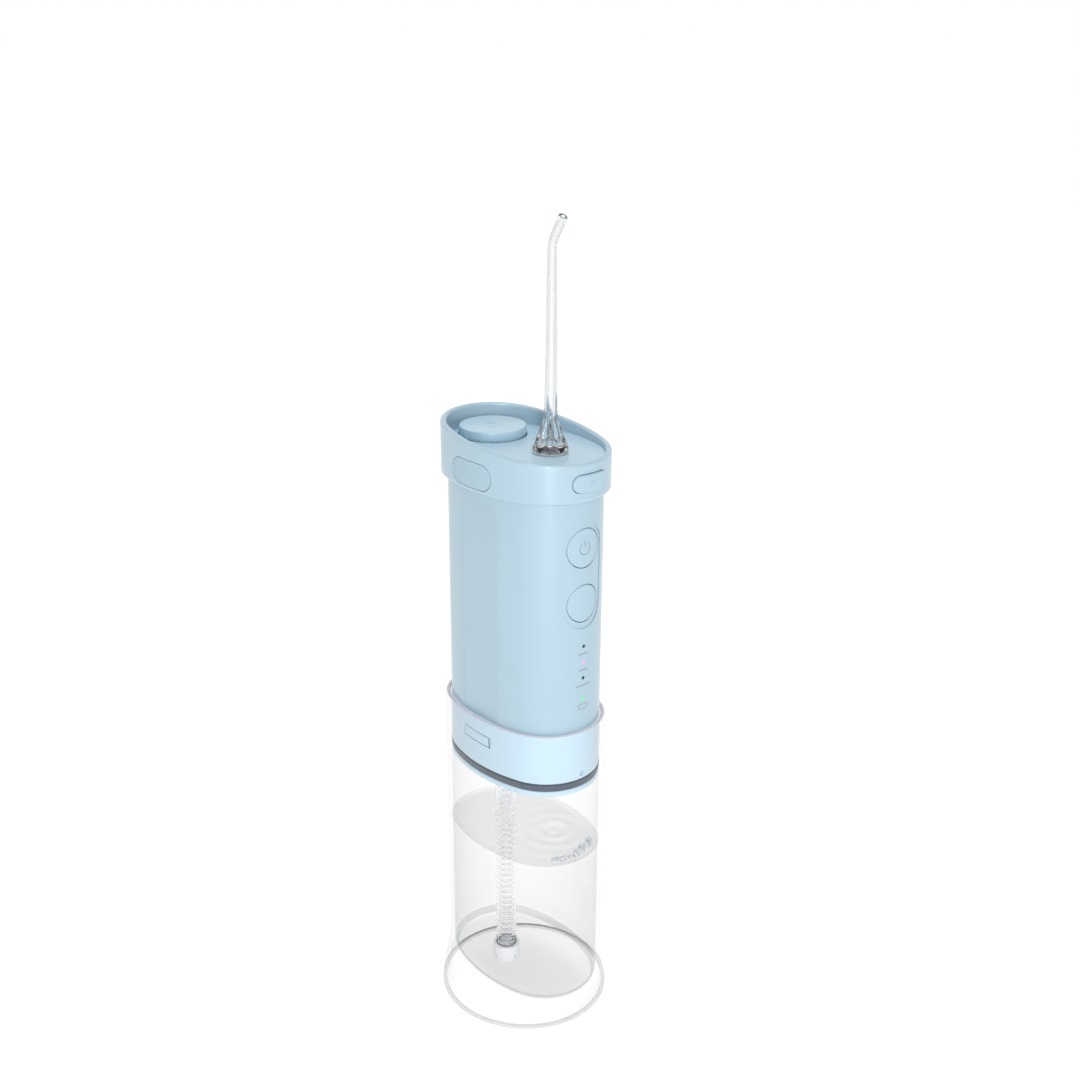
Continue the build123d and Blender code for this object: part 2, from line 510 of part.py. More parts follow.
# ---------------------------------------------------------------- drive
with BuildPart() as motor_can:
    with BuildSketch(Plane.YZ.offset(MOTOR_BACK)):
        with Locations((MOTOR_Y, MOTOR_Z)):
            Circle(MOTOR_RADIUS)
    extrude(amount=MOTOR_LENGTH)
    fillet(motor_can.edges(), radius=0.8)
    with BuildSketch(Plane.YZ.offset(MOTOR_BACK + MOTOR_LENGTH)):
        with Locations((MOTOR_Y, MOTOR_Z)):
            Circle(3.0)
    extrude(amount=1.5)
    with BuildSketch(Plane.YZ.offset(-6)):
        with Locations((MOTOR_Y, MOTOR_Z)):
            Circle(1.1)
    extrude(amount=14, mode=Mode.SUBTRACT)
keep(motor_can.part, "motor_can")

with BuildPart() as motor_shaft:
    with BuildSketch(Plane.YZ.offset(SHAFT_BACK)):
        with Locations((MOTOR_Y, MOTOR_Z)):
            Circle(1.0)
    extrude(amount=SHAFT_LENGTH)
keep(motor_shaft.part, "motor_shaft")


def gear_wheel(height, teeth, first_angle, bore):
    """A straight-toothed wheel across X. Its teeth are narrow enough to leave backlash."""
    pitch_radius = GEAR_MODULE * teeth / 2
    root_radius = pitch_radius - 1.15 * GEAR_MODULE
    tip = 1.9 * GEAR_MODULE
    with BuildPart() as wheel:
        with BuildSketch(Plane.YZ.offset(GEAR_X)):
            with Locations((MOTOR_Y, height)):
                Circle(root_radius)
                with PolarLocations(root_radius, teeth, start_angle=first_angle):
                    Polygon((-0.3, -0.42), (tip, -0.2), (tip, 0.2), (-0.3, 0.42), align=None)
                Circle(bore, mode=Mode.SUBTRACT)
        extrude(amount=GEAR_THICK)
    return wheel.part


half_tooth = 180 / PINION_TEETH
keep(gear_wheel(MOTOR_Z, PINION_TEETH, 90 + half_tooth, 1.0), "pinion")
with BuildPart() as crank_gear:
    add(gear_wheel(GEAR_Z, GEAR_TEETH, 270, 1.55))
    # The crank pin is cut short of the yoke that it drives
    with BuildSketch(Plane.YZ.offset(GEAR_X - 0.4)):
        with Locations((MOTOR_Y, GEAR_Z - CRANK_THROW)):
            Circle(1.2)
    extrude(amount=0.8)
keep(crank_gear.part, "crank_gear")

with BuildPart() as gear_frame:
    with BuildSketch(Plane.YZ.offset(FRAME_X)):
        with Locations((-6.0, FRAME_MIDDLE)):
            RectangleRounded(16, FRAME_LENGTH, 1.5)
    extrude(amount=FRAME_THICK)
    # Axle of the crank gear
    with BuildSketch(Plane.YZ.offset(GEAR_X)):
        with Locations((MOTOR_Y, GEAR_Z)):
            Circle(1.5)
    extrude(amount=5)
    # Arm that holds the pump
    with BuildSketch(Plane.XY.offset(151)):
        with Locations((11.5, MOTOR_Y)):
            Rectangle(3.4, 6)
    extrude(amount=16)
    extrude(disc(150, PUMP_X, MOTOR_Y, PUMP_OUTER), amount=20, mode=Mode.SUBTRACT)
    # Shelf under the motor
    with BuildSketch(Plane.XY.offset(115.0)):
        with Locations((0, MOTOR_Y)):
            Rectangle(28, 8)
    extrude(amount=2.0)
    with BuildSketch(Plane.YZ.offset(-16)):
        with Locations((MOTOR_Y, MOTOR_Z)):
            Circle(MOTOR_RADIUS)
    extrude(amount=28, mode=Mode.SUBTRACT)
keep(gear_frame.part, "gear_frame")

with BuildPart() as piston:
    # Yoke that the crank pin drives, its rod, and the plunger
    with BuildSketch(Plane.YZ.offset(6.0)):
        with Locations((MOTOR_Y, GEAR_Z - CRANK_THROW)):
            RectangleRounded(12, 5.6, 1)
            SlotOverall(10, 2.9, mode=Mode.SUBTRACT)
    extrude(amount=2.3)
    yoke_top = GEAR_Z - CRANK_THROW + 2.8
    with BuildSketch(Plane.XY.offset(yoke_top - 0.2)):
        with Locations((PUMP_X, MOTOR_Y)):
            Rectangle(2.3, 3.0)
    extrude(amount=PUMP_LOW + 3 - yoke_top)
    extrude(disc(PUMP_LOW + 1, PUMP_X, MOTOR_Y, PUMP_BORE - 0.25), amount=5)
    with BuildSketch(Plane.XY.offset(PUMP_LOW + 3)):
        with Locations((PUMP_X, MOTOR_Y)):
            Circle(PUMP_BORE)
            Circle(PUMP_BORE - 1, mode=Mode.SUBTRACT)
    extrude(amount=1.4, mode=Mode.SUBTRACT)
keep(piston.part, "piston")

with BuildPart() as piston_cup:
    extrude(disc(PUMP_LOW + 3.05, PUMP_X, MOTOR_Y, PUMP_BORE - 0.06), amount=1.3)
    extrude(disc(PUMP_LOW + 3, PUMP_X, MOTOR_Y, PUMP_BORE - 0.98), amount=2, mode=Mode.SUBTRACT)
keep(piston_cup.part, "piston_cup")

with BuildPart() as pump_cylinder:
    extrude(disc(PUMP_LOW, PUMP_X, MOTOR_Y, PUMP_OUTER), amount=PUMP_TOP - PUMP_LOW)
    extrude(disc(PUMP_LOW, PUMP_X, MOTOR_Y, PUMP_BORE), amount=PUMP_TOP - PUMP_LOW - 2, mode=Mode.SUBTRACT)
keep(pump_cylinder.part, "pump_cylinder")

with BuildPart() as valve_block:
    with BuildSketch(Plane.XY.offset(PUMP_TOP)):
        with Locations((PUMP_X, MOTOR_Y)):
            RectangleRounded(VALVE_SIZE, VALVE_SIZE, 2)
    extrude(amount=VALVE_TOP - PUMP_TOP)
keep(valve_block.part, "valve_block")


def hose(points, bend_radius, start_plane):
    """A round tube along straight runs joined by tangent arcs."""
    with BuildPart() as tube:
        with BuildLine() as route:
            FilletPolyline(*points, radius=bend_radius)
        with BuildSketch(start_plane):
            Circle(TUBE_RADIUS)
            Circle(TUBE_RADIUS - TUBE_WALL, mode=Mode.SUBTRACT)
        sweep(path=route.wire())
    return tube.part


port_x, port_z = 5.0, 176.0
inlet_points = [
    (HOSE_X, HOSE_Y, 113),
    (HOSE_X, HOSE_Y, port_z),
    (port_x, HOSE_Y, port_z),
    (port_x, MOTOR_Y + VALVE_SIZE / 2, port_z),
]
keep(hose(inlet_points, 3.0, Plane(origin=inlet_points[0])), "inlet_hose")
outlet_points = [
    (PUMP_X, MOTOR_Y, VALVE_TOP),
    (PUMP_X, MOTOR_Y, TUBE_TURN_Z),
    (0, NOZZLE_Y, TUBE_TURN_Z),
    (0, NOZZLE_Y, SEAT_LOW),
]
keep(hose(outlet_points, 2.2, Plane(origin=outlet_points[0])), "outlet_hose")

with BuildPart() as turret_seat:
    extrude(disc(SEAT_LOW, 0, NOZZLE_Y, 5.0), amount=2.0)
    extrude(disc(SEAT_LOW, 0, NOZZLE_Y, 1.0), amount=2.0, mode=Mode.SUBTRACT)
keep(turret_seat.part, "turret_seat")

# ---------------------------------------------------------------- write the STEP files
os.makedirs("parts", exist_ok=True)
for label, part in parts.items():
    export_step(part, f"parts/{label}.step")
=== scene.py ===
# %% [markdown]
# # A telescoping water flosser
#
# The object is a small personal-care device: a pastel blue handle slides in a clear reservoir, and
# a clear nozzle stands on the head. The solid model is loaded first as a fixed frame. It says where
# every part is and how it moves. This lesson adds the looks: clear mouldings with real wall
# thickness, satin plastic, water, a corrugated hose, lights and small printed marks.

# %% Load the frame
import json
import random
from math import atan2, cos, pi, radians, sin

import bmesh
import bpy
from mathutils import Euler, Matrix, Vector


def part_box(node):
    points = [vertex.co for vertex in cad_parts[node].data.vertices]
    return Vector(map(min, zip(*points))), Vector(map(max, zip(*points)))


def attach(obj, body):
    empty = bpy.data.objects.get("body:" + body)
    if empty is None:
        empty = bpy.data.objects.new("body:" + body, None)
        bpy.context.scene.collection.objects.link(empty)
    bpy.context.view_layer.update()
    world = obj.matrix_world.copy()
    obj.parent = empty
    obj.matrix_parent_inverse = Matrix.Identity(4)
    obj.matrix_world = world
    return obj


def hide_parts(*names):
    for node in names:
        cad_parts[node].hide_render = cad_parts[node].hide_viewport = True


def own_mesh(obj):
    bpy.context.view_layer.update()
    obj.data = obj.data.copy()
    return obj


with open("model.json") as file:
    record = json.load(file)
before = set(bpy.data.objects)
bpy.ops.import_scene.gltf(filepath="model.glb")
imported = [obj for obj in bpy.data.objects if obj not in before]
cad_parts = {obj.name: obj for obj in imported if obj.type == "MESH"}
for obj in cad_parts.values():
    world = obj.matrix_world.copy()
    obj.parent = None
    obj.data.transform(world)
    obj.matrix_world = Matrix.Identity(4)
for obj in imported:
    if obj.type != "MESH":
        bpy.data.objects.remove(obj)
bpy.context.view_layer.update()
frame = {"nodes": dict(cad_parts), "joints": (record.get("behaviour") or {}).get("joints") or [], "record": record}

nodes = frame["nodes"]

# %% [markdown]
# ## Camera
#
# A product picture is taken from a little above and to the left of the buttons. The camera stands
# at the distance and turn that show the oval head, the buttons and the long side together. Its
# lens is close to normal, so the body keeps a slight perspective.

# %% Place the camera
CAMERA_PLACE = (-0.27395, -0.31832, 0.32384)
CAMERA_AZIMUTH, CAMERA_ELEVATION, CAMERA_ROLL = -41.40, 20.09, 0.315
CAMERA_LENS, SENSOR_WIDTH = 45.78, 36

camera_data = bpy.data.cameras.new("camera")
camera_data.lens, camera_data.sensor_width = CAMERA_LENS, SENSOR_WIDTH
camera_data.clip_start = 0.01
camera = bpy.data.objects.new("camera", camera_data)
bpy.context.scene.collection.objects.link(camera)
aim = Euler((radians(90 - CAMERA_ELEVATION), 0, radians(CAMERA_AZIMUTH))).to_matrix().to_4x4()
turn = Matrix.Rotation(radians(CAMERA_ROLL), 4, "Z")
camera.matrix_world = Matrix.Translation(CAMERA_PLACE) @ aim @ turn
bpy.context.scene.camera = camera
print("camera at", [round(v, 3) for v in camera.location])

# %% [markdown]
# ## Floor and light
#
# Clear plastic shows what is around it, so the room matters as much as the material. A pale floor
# and a bright world keep the reservoir clean. The world is darker towards two sides, above the
# horizon, so the body's flanks fall off in tone. A tall narrow light in front draws the long
# highlight where the flat side turns into the nose, and a wide one above lifts the deck.

# %% Floor, world and lamps
scene = bpy.context.scene
scene.view_settings.view_transform = "Standard"

bpy.ops.object.select_all(action="DESELECT")
bpy.ops.mesh.primitive_plane_add(size=80, location=(0, 0, 0))
floor = bpy.context.object
floor.name = "floor"

world = bpy.data.worlds.new("studio")
world.use_nodes = True
sky = world.node_tree
scene.world = world

# Sockets of a Mix node for colours: its two colours and its result
MIX_FIRST, MIX_SECOND, MIX_RESULT = 6, 7, 2
# The dimming fades in between these heights, so the band along the horizon stays white
HORIZON_WHITE, HORIZON_DIM = 0.12, 0.34


def dim_towards(direction, amount, spread, colour):
    """Darkens the room softly towards one direction, like a grey card."""
    look = sky.nodes.new("ShaderNodeTexCoord")
    dot = sky.nodes.new("ShaderNodeVectorMath")
    dot.operation = "DOT_PRODUCT"
    dot.inputs[1].default_value = Vector(direction).normalized()
    sky.links.new(look.outputs["Generated"], dot.inputs[0])
    ramp = sky.nodes.new("ShaderNodeMapRange")
    ramp.interpolation_type = "SMOOTHSTEP"
    ramp.inputs["From Min"].default_value = cos(radians(spread))
    ramp.inputs["From Max"].default_value = 1.0
    ramp.inputs["To Max"].default_value = amount
    sky.links.new(dot.outputs["Value"], ramp.inputs["Value"])
    parts = sky.nodes.new("ShaderNodeSeparateXYZ")
    sky.links.new(look.outputs["Generated"], parts.inputs[0])
    above = sky.nodes.new("ShaderNodeMapRange")
    above.inputs["From Min"].default_value = HORIZON_WHITE
    above.inputs["From Max"].default_value = HORIZON_DIM
    sky.links.new(parts.outputs["Z"], above.inputs["Value"])
    share = sky.nodes.new("ShaderNodeMath")
    share.operation = "MULTIPLY"
    sky.links.new(ramp.outputs["Result"], share.inputs[0])
    sky.links.new(above.outputs["Result"], share.inputs[1])
    mix = sky.nodes.new("ShaderNodeMix")
    mix.data_type = "RGBA"
    sky.links.new(share.outputs["Value"], mix.inputs[0])
    if isinstance(colour, bpy.types.NodeSocket):
        sky.links.new(colour, mix.inputs[MIX_FIRST])
    else:
        mix.inputs[MIX_FIRST].default_value = colour
    mix.inputs[MIX_SECOND].default_value = (0.0, 0.0, 0.0, 1)
    return mix.outputs[MIX_RESULT]


room = dim_towards((-0.90, 0.20, 0.30), amount=0.95, spread=64, colour=(1.0, 1.0, 1.0, 1))
room = dim_towards((0.74, -0.60, 0.30), amount=0.97, spread=64, colour=room)
background = sky.nodes["Background"]
sky.links.new(room, background.inputs["Color"])
background.inputs["Strength"].default_value = 1.0


def lamp(name, place, target, width, height, power):
    """A rectangular soft light that faces a target point."""
    data = bpy.data.lights.new(name, "AREA")
    data.shape, data.size, data.size_y, data.energy = "RECTANGLE", width, height, power
    light = bpy.data.objects.new(name, data)
    scene.collection.objects.link(light)
    light.location = place
    light.rotation_euler = (Vector(target) - Vector(place)).to_track_quat("-Z", "Y").to_euler()


BODY_MIDDLE = (0, 0, 0.14)
lamp("front_strip", (-0.48, -0.62, 0.25), BODY_MIDDLE, width=0.05, height=0.9, power=4.0)
lamp("top_panel", (0.05, -0.10, 0.95), BODY_MIDDLE, width=0.5, height=0.5, power=1.6)

# %% [markdown]
# ## Shader maths
#
# A material here is a short sum of masks and noises.

# %% A material kit


class Wire:
    """A node's output that can be used in arithmetic."""

    def __init__(self, kit, socket):
        self.kit, self.socket = kit, socket

    def maths(self, operation, first, second):
        return self.kit.node("ShaderNodeMath", {"operation": operation}, {0: first, 1: second})

    def __add__(self, other):
        return self.maths("ADD", self, other)

    def __radd__(self, other):
        return self.maths("ADD", other, self)

    def __mul__(self, other):
        return self.maths("MULTIPLY", self, other)

    def __rmul__(self, other):
        return self.maths("MULTIPLY", other, self)

    def __gt__(self, other):
        return self.maths("GREATER_THAN", self, other)

    def __lt__(self, other):
        return self.maths("LESS_THAN", self, other)


class Kit:
    """One material with a Principled shader, and the nodes that feed it."""

    def __init__(self, name):
        self.material = bpy.data.materials.new(name)
        self.material.use_nodes = True
        self.tree = self.material.node_tree
        self.shader = self.tree.nodes["Principled BSDF"]

    def node(self, kind, settings=None, inputs=None, output=0):
        """Any node: its settings first, then values or wires for its inputs."""
        made = self.tree.nodes.new(kind)
        for key, value in (settings or {}).items():
            if key == "stops":
                self.set_stops(made, value)
            else:
                setattr(made, key, value)
        for key, value in (inputs or {}).items():
            self.feed(made.inputs[key], value)
        return Wire(self, made.outputs[output])

    def set_stops(self, ramp, stops):
        """The colour stops of a ramp, as (position, colour) pairs."""
        elements = ramp.color_ramp.elements
        while len(elements) < len(stops):
            elements.new(0.5)
        for element, (position, colour) in zip(elements, stops):
            element.position, element.color = position, colour

    def feed(self, socket, value):
        if isinstance(value, Wire):
            self.tree.links.new(value.socket, socket)
        else:
            socket.default_value = value

    def set(self, **values):
        """Values or wires for the Principled shader, with _ for a space."""
        for key, value in values.items():
            self.feed(self.shader.inputs[key.replace("_", " ")], value)

    def place(self):
        """Object coordinates."""
        return self.node("ShaderNodeTexCoord", output="Object")

    def axis(self, letter):
        """One Object coordinate as a number, in metres."""
        return self.node("ShaderNodeSeparateXYZ", {}, {0: self.place()}, output=letter)

    def noise(self, scale, detail=3.0, roughness=0.5):
        inputs = {"Vector": self.place(), "Scale": scale, "Detail": detail, "Roughness": roughness}
        return self.node("ShaderNodeTexNoise", {}, inputs)

    def blend(self, factor, first, second):
        """A mix of two colours."""
        colours = {"data_type": "RGBA"}
        inputs = {0: factor, MIX_FIRST: first, MIX_SECOND: second}
        return self.node("ShaderNodeMix", colours, inputs, output=MIX_RESULT)

    def bump(self, height, strength, distance):
        inputs = {"Height": height, "Strength": strength, "Distance": distance}
        self.set(Normal=self.node("ShaderNodeBump", {}, inputs))

    def surface(self):
        """The Principled shader's own output, to be mixed with another shader."""
        return Wire(self, self.shader.outputs[0])

    def show(self, wire):
        """Makes a mix of shaders the surface of the material."""
        self.tree.links.new(wire.socket, self.tree.nodes["Material Output"].inputs["Surface"])


def shade(colour, factor):
    """A colour made lighter or darker."""
    return tuple(min(1.0, channel * factor) for channel in colour[:3]) + (1.0,)


# %% [markdown]
# ## Finishes
#
# The handle is moulded in a pastel blue with a satin, very fine spark-eroded grain. Colour drifts
# by a few percent over a moulding, and its polish is a little uneven. The same recipe with other
# numbers makes the white inner parts, the glossy collar and the soft cover.

# %% Plastic and rubber
GRAIN_DEPTH, COAT_ROUGH, UNEVEN = 0.00002, 0.12, 0.08


def plastic(name, colour, rough, grain=0.12, coat=0.0, drift=0.025, scale=5200.0):
    """Moulded plastic: colour drift, uneven polish and a fine grain."""
    kit = Kit(name)
    broad = kit.noise(38.0, 2.0)
    fine = kit.noise(scale, 2.0)
    kit.set(
        Base_Color=kit.blend(broad, shade(colour, 1 - drift), shade(colour, 1 + drift)),
        Roughness=rough - UNEVEN / 2 + kit.noise(120.0, 4.0) * UNEVEN,
    )
    kit.shader.inputs["Coat Weight"].default_value = coat
    kit.shader.inputs["Coat Roughness"].default_value = COAT_ROUGH
    kit.bump(fine, grain, GRAIN_DEPTH)
    return kit.material


BODY_BLUE = (0.358, 0.500, 0.590)
body_blue = plastic("satin_blue", BODY_BLUE, 0.33, coat=0.4)
head_blue = plastic("satin_blue_head", shade(BODY_BLUE, 1.02), 0.33, coat=0.4)
# Painted light: the deck and the cap take a lighter copy of the body's blue, as tops lit from above.
deck_blue = plastic("satin_blue_deck_painted_light", shade(BODY_BLUE, 1.24), 0.34, coat=0.10)
button_blue = plastic("satin_blue_button", shade(BODY_BLUE, 1.03), 0.33, coat=0.10)
collar_blue = plastic("glossy_blue_collar", (0.515, 0.685, 0.805), 0.22, grain=0.03, coat=0.4)
cover_blue = plastic("soft_blue_cover", BODY_BLUE, 0.44, grain=0.2)
white_plastic = plastic("white_nylon", (0.80, 0.82, 0.84), 0.42)
seal_black = plastic("black_seal", (0.018, 0.022, 0.028), 0.38, grain=0.1, drift=0.1)
seal_grey = plastic("slate_seal", (0.070, 0.095, 0.125), 0.38, grain=0.1, drift=0.1)
switch_black = plastic("black_switch", (0.03, 0.03, 0.035), 0.4)
ink_grey = plastic("ink_grey", (0.27, 0.32, 0.37), 0.5)
ink_blue = plastic("ink_blue", (0.30, 0.45, 0.60), 0.5)
print("plastics made")

# %% [markdown]
# Clear parts come in two kinds. The nozzle bends light as a clear moulding does, with a soft grey
# shade painted at its edges so that it stands out in a white room. The hose bends it only weakly,
# because its many folds would go dark otherwise. The reservoir and its water are thin clear skins:
# light goes straight through where they are seen face on, and towards their edges they turn glossy,
# with painted grey shade in place of the light they would bend. Several skins lie in one line of
# sight, and real refraction would turn the inside dark.

# %% Clear plastic, silicone and water

def clear(name, tint, refraction, streak):
    """A clear moulding that bends light, with faint uneven polish."""
    kit = Kit(name)
    kit.set(Base_Color=tint + (1.0,), Transmission_Weight=1.0, IOR=refraction)
    kit.set(Roughness=kit.noise(60.0, 2.0) * streak)
    return kit


def thin_clear(name, colour, rough, edge, least, most):
    """A thin clear wall: see-through face on; gloss and painted grey shade towards its edges."""
    kit = Kit(name)
    kit.set(Base_Color=colour + (1.0,), Roughness=rough)
    facing = kit.node("ShaderNodeLayerWeight", {}, {"Blend": edge}, output="Facing")
    empty = kit.node("ShaderNodeBsdfTransparent", {}, {"Color": (1.0, 1.0, 1.0, 1.0)})
    amount = facing * (most - least) + least
    kit.show(kit.node("ShaderNodeMixShader", {}, {0: amount, 1: empty, 2: kit.surface()}))
    return kit.material


clear_tank = thin_clear("clear_reservoir", (0.44, 0.45, 0.46), 0.04, 0.07, 0.004, 0.80)
clear_floor = thin_clear("clear_floor", (0.74, 0.75, 0.76), 0.06, 0.10, 0.01, 0.12)
# Painted shade: a grey band on the round corner inside the floor, where bent light draws a line.
painted_corner_shade = thin_clear("painted_corner_shade", (0.34, 0.35, 0.36), 0.10, 0.20, 0.30, 0.60)
foot_rubber = thin_clear("foot_rubber", (0.40, 0.41, 0.42), 0.30, 0.40, 0.14, 0.50)
clear_silicone = clear("clear_silicone", (0.975, 0.98, 0.985), 1.10, 0.02).material


def edged(kit, colour, blend, most):
    """Draws a clear moulding's edges with a soft grey, as a dark card beside it would."""
    facing = kit.node("ShaderNodeLayerWeight", {}, {"Blend": blend}, output="Facing")
    grey = kit.node("ShaderNodeBsdfDiffuse", {}, {"Color": colour + (1.0,)})
    amount = facing * facing * most
    kit.show(kit.node("ShaderNodeMixShader", {}, {0: amount, 1: kit.surface(), 2: grey}))
    return kit.material


nozzle_kit = clear("clear_nozzle", (0.93, 0.94, 0.95), 1.49, 0.01)
clear_nozzle = edged(nozzle_kit, (0.30, 0.32, 0.34), 0.45, 0.80)
bubble_clear = plastic("bubble_film", (0.70, 0.71, 0.72), 0.12, coat=0.6, grain=0.0)
water_clear = thin_clear("water", (0.66, 0.67, 0.68), 0.03, 0.05, 0.008, 0.45)
# Painted reflection: the water's top turns grey as it is seen aslant, over a real gloss.
water_top_painted_reflection = thin_clear("water_top_painted_reflection", (0.52, 0.53, 0.54), 0.04, 0.50, 0.0, 0.62)
rim_frost = plastic("frosted_rim", (0.68, 0.62, 0.68), 0.55, grain=0.3)
print("clear finishes made")

# %% [markdown]
# Inside the handle are metal and electronics. They show when the part is taken to pieces, so they
# get brushed steel, turned brass, a printed board with its tracks and a shrink-wrapped cell.

# %% Metals and electronics
TRACK_WIDTH, TRACK_DEPTH = 0.06, 0.00003
BARE_END = 0.0018


def metal(name, colour, rough, along="X"):
    """Metal with fine lines that run round or along the part."""
    kit = Kit(name)
    stretch = {"X": (20.0, 2600.0, 2600.0), "Z": (2600.0, 2600.0, 20.0)}[along]
    mapping = kit.node("ShaderNodeMapping", {}, {"Vector": kit.place(), "Scale": stretch})
    lines = kit.node("ShaderNodeTexNoise", {}, {"Vector": mapping, "Scale": 1.0, "Detail": 3.0})
    kit.set(
        Base_Color=kit.blend(lines, shade(colour, 0.88), shade(colour, 1.06)),
        Roughness=rough + lines * 0.15,
        Metallic=1.0,
    )
    kit.bump(lines, 0.15, GRAIN_DEPTH)
    return kit.material


steel = metal("brushed_steel", (0.62, 0.63, 0.65, 1), 0.22)
brass = metal("turned_brass", (0.78, 0.62, 0.33, 1), 0.25)


def printed_board():
    """A green board with copper tracks under the lacquer."""
    kit = Kit("circuit_board")
    grid = {"Vector": kit.place(), "Scale": 420.0}
    cells = kit.node("ShaderNodeTexVoronoi", {"feature": "DISTANCE_TO_EDGE"}, grid)
    tracks = cells < TRACK_WIDTH
    kit.set(
        Base_Color=kit.blend(tracks, (0.015, 0.12, 0.05, 1), (0.05, 0.26, 0.10, 1)),
        Roughness=0.28 + kit.noise(300.0) * 0.1,
    )
    kit.bump(tracks, 0.3, TRACK_DEPTH)
    return kit.material


def wrapped_cell():
    """A cell in blue shrink wrap, with a bare end."""
    kit = Kit("battery_wrap")
    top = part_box("battery")[1][2]
    bare = kit.axis("Z") > (top - BARE_END)
    kit.set(
        Base_Color=kit.blend(bare, (0.05, 0.16, 0.40, 1), (0.7, 0.7, 0.7, 1)),
        Roughness=0.25 + kit.noise(150.0) * 0.12,
        Metallic=bare,
    )
    return kit.material


board_green, battery_wrap = printed_board(), wrapped_cell()


def lit(name, colour, glow, strength):
    """A small lens, dark or glowing."""
    kit = Kit(name)
    kit.set(Base_Color=colour + (1.0,), Roughness=0.2 + kit.noise(500.0) * 0.1)
    if strength:
        kit.set(Emission_Color=glow + (1.0,), Emission_Strength=strength)
    return kit.material


lamp_dark = lit("lens_dark", (0.02, 0.03, 0.05), (0, 0, 0), 0)
lamp_pink = lit("lens_pink", (0.40, 0.16, 0.42), (1.0, 0.42, 1.0), 0.62)
lamp_green = lit("lens_green", (0.08, 0.34, 0.14), (0.16, 1.0, 0.34), 0.55)
print("inner finishes made")

# %% Give every loaded part its finish
finishes = {
    "clear_tank": clear_tank,
    "clear_silicone": clear_silicone,
    "clear_nozzle": clear_nozzle,
    "body_blue": body_blue,
    "collar_blue": collar_blue,
    "deck_blue": deck_blue,
    "soft_blue": cover_blue,
    "seal_black": seal_black,
    "white_plastic": white_plastic,
    "light_pipe": lamp_dark,
    "steel": steel,
    "board_green": board_green,
    "switch_black": switch_black,
    "battery_wrap": battery_wrap,
    "brass": brass,
}
slot_of = {entry["node"]: entry["material_slot"] for entry in frame["record"]["subparts"]}
groups = frame["record"]["behaviour"]["bodies"]
body_with = {node: body for body, members in groups.items() for node in members}


def paint(piece, material):
    piece.data.materials.clear()
    piece.data.materials.append(material)


for name, node in nodes.items():
    paint(node, finishes[slot_of[name]])
paint(nodes["foot_ring"], foot_rubber)

# A pale floor with the faintest unevenness. It glows, as a lit acrylic table does, so that the
# clear foot isn't standing on its own dark shadow.
FLOOR_GLOW = 0.72
floor_kit = Kit("pale_floor")
floor_kit.set(
    Base_Color=floor_kit.blend(floor_kit.noise(3.0), (0.44, 0.44, 0.44, 1), (0.46, 0.46, 0.46, 1)),
    Roughness=0.9,
    Emission_Color=(1.0, 1.0, 1.0, 1.0),
    Emission_Strength=FLOOR_GLOW,
)
floor_kit.shader.inputs["Specular IOR Level"].default_value = 0.0
paint(floor, floor_kit.material)
print("painted", len(nodes), "nodes")

# %% [markdown]
# ## Smooth casings
#
# The casings' shapes are right, but they arrive as loose triangles that would show as facets in a
# satin highlight. Each visible one is copied, its doubled corners are merged, and its faces are
# shaded smooth up to the angle of a real edge. Walls that follow the body's oval then get the exact
# direction of the oval at each corner, while the flat grip facets keep their own. The copy stands
# for the loaded part.

# %% Smooth copies of the casings
HALF_WIDTH, HALF_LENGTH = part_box("head_shell")[1][:2]
NOSE_RADIUS = 0.020
NOSE_Y = HALF_LENGTH - NOSE_RADIUS
SIDE_RADIUS = (NOSE_Y**2 + HALF_WIDTH**2 - NOSE_RADIUS**2) / (2 * (HALF_WIDTH - NOSE_RADIUS))
SIDE_X = SIDE_RADIUS - HALF_WIDTH
JOIN_ANGLE = atan2(NOSE_Y, SIDE_X)
UPRIGHT, SQUARE, NEAR_OVAL = 0.02, 0.999999, cos(radians(9))
SMOOTH_ANGLE, MERGE_GAP = 28, 0.000002


def oval_facing(x, y):
    """The direction that the body's oval wall faces at a point of it, whatever its inset."""
    nose = Vector((x, y - (NOSE_Y if y > 0 else -NOSE_Y), 0))
    beyond = abs(y) > NOSE_Y and atan2(abs(y) - NOSE_Y, abs(x)) > JOIN_ANGLE
    if beyond:
        return nose.normalized()
    return Vector((x + (SIDE_X if x > 0 else -SIDE_X), y, 0)).normalized()


def true_wall_normals(piece):
    """Gives upright oval walls the exact direction of the oval, so highlights run clean."""
    mesh = piece.data
    normals = [Vector(corner.vector) for corner in mesh.corner_normals]
    for face in mesh.polygons:
        if abs(face.normal.z) > UPRIGHT:
            continue
        if abs(face.normal.x) > SQUARE:
            for loop in face.loop_indices:
                normals[loop] = face.normal.copy()
            continue
        facing = oval_facing(face.center.x, face.center.y)
        match = face.normal.dot(facing)
        if abs(match) < NEAR_OVAL:
            continue
        for loop in face.loop_indices:
            corner = mesh.vertices[mesh.loops[loop].vertex_index].co
            normals[loop] = oval_facing(corner.x, corner.y) * (1 if match > 0 else -1)
    mesh.normals_split_custom_set(normals)


def only(piece):
    """Select one object and nothing else."""
    bpy.ops.object.select_all(action="DESELECT")
    piece.select_set(True)
    bpy.context.view_layer.objects.active = piece


def settle(piece, body, material):
    """Ride on a body, take a slot and a finish."""
    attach(piece, body)
    paint(piece, material)


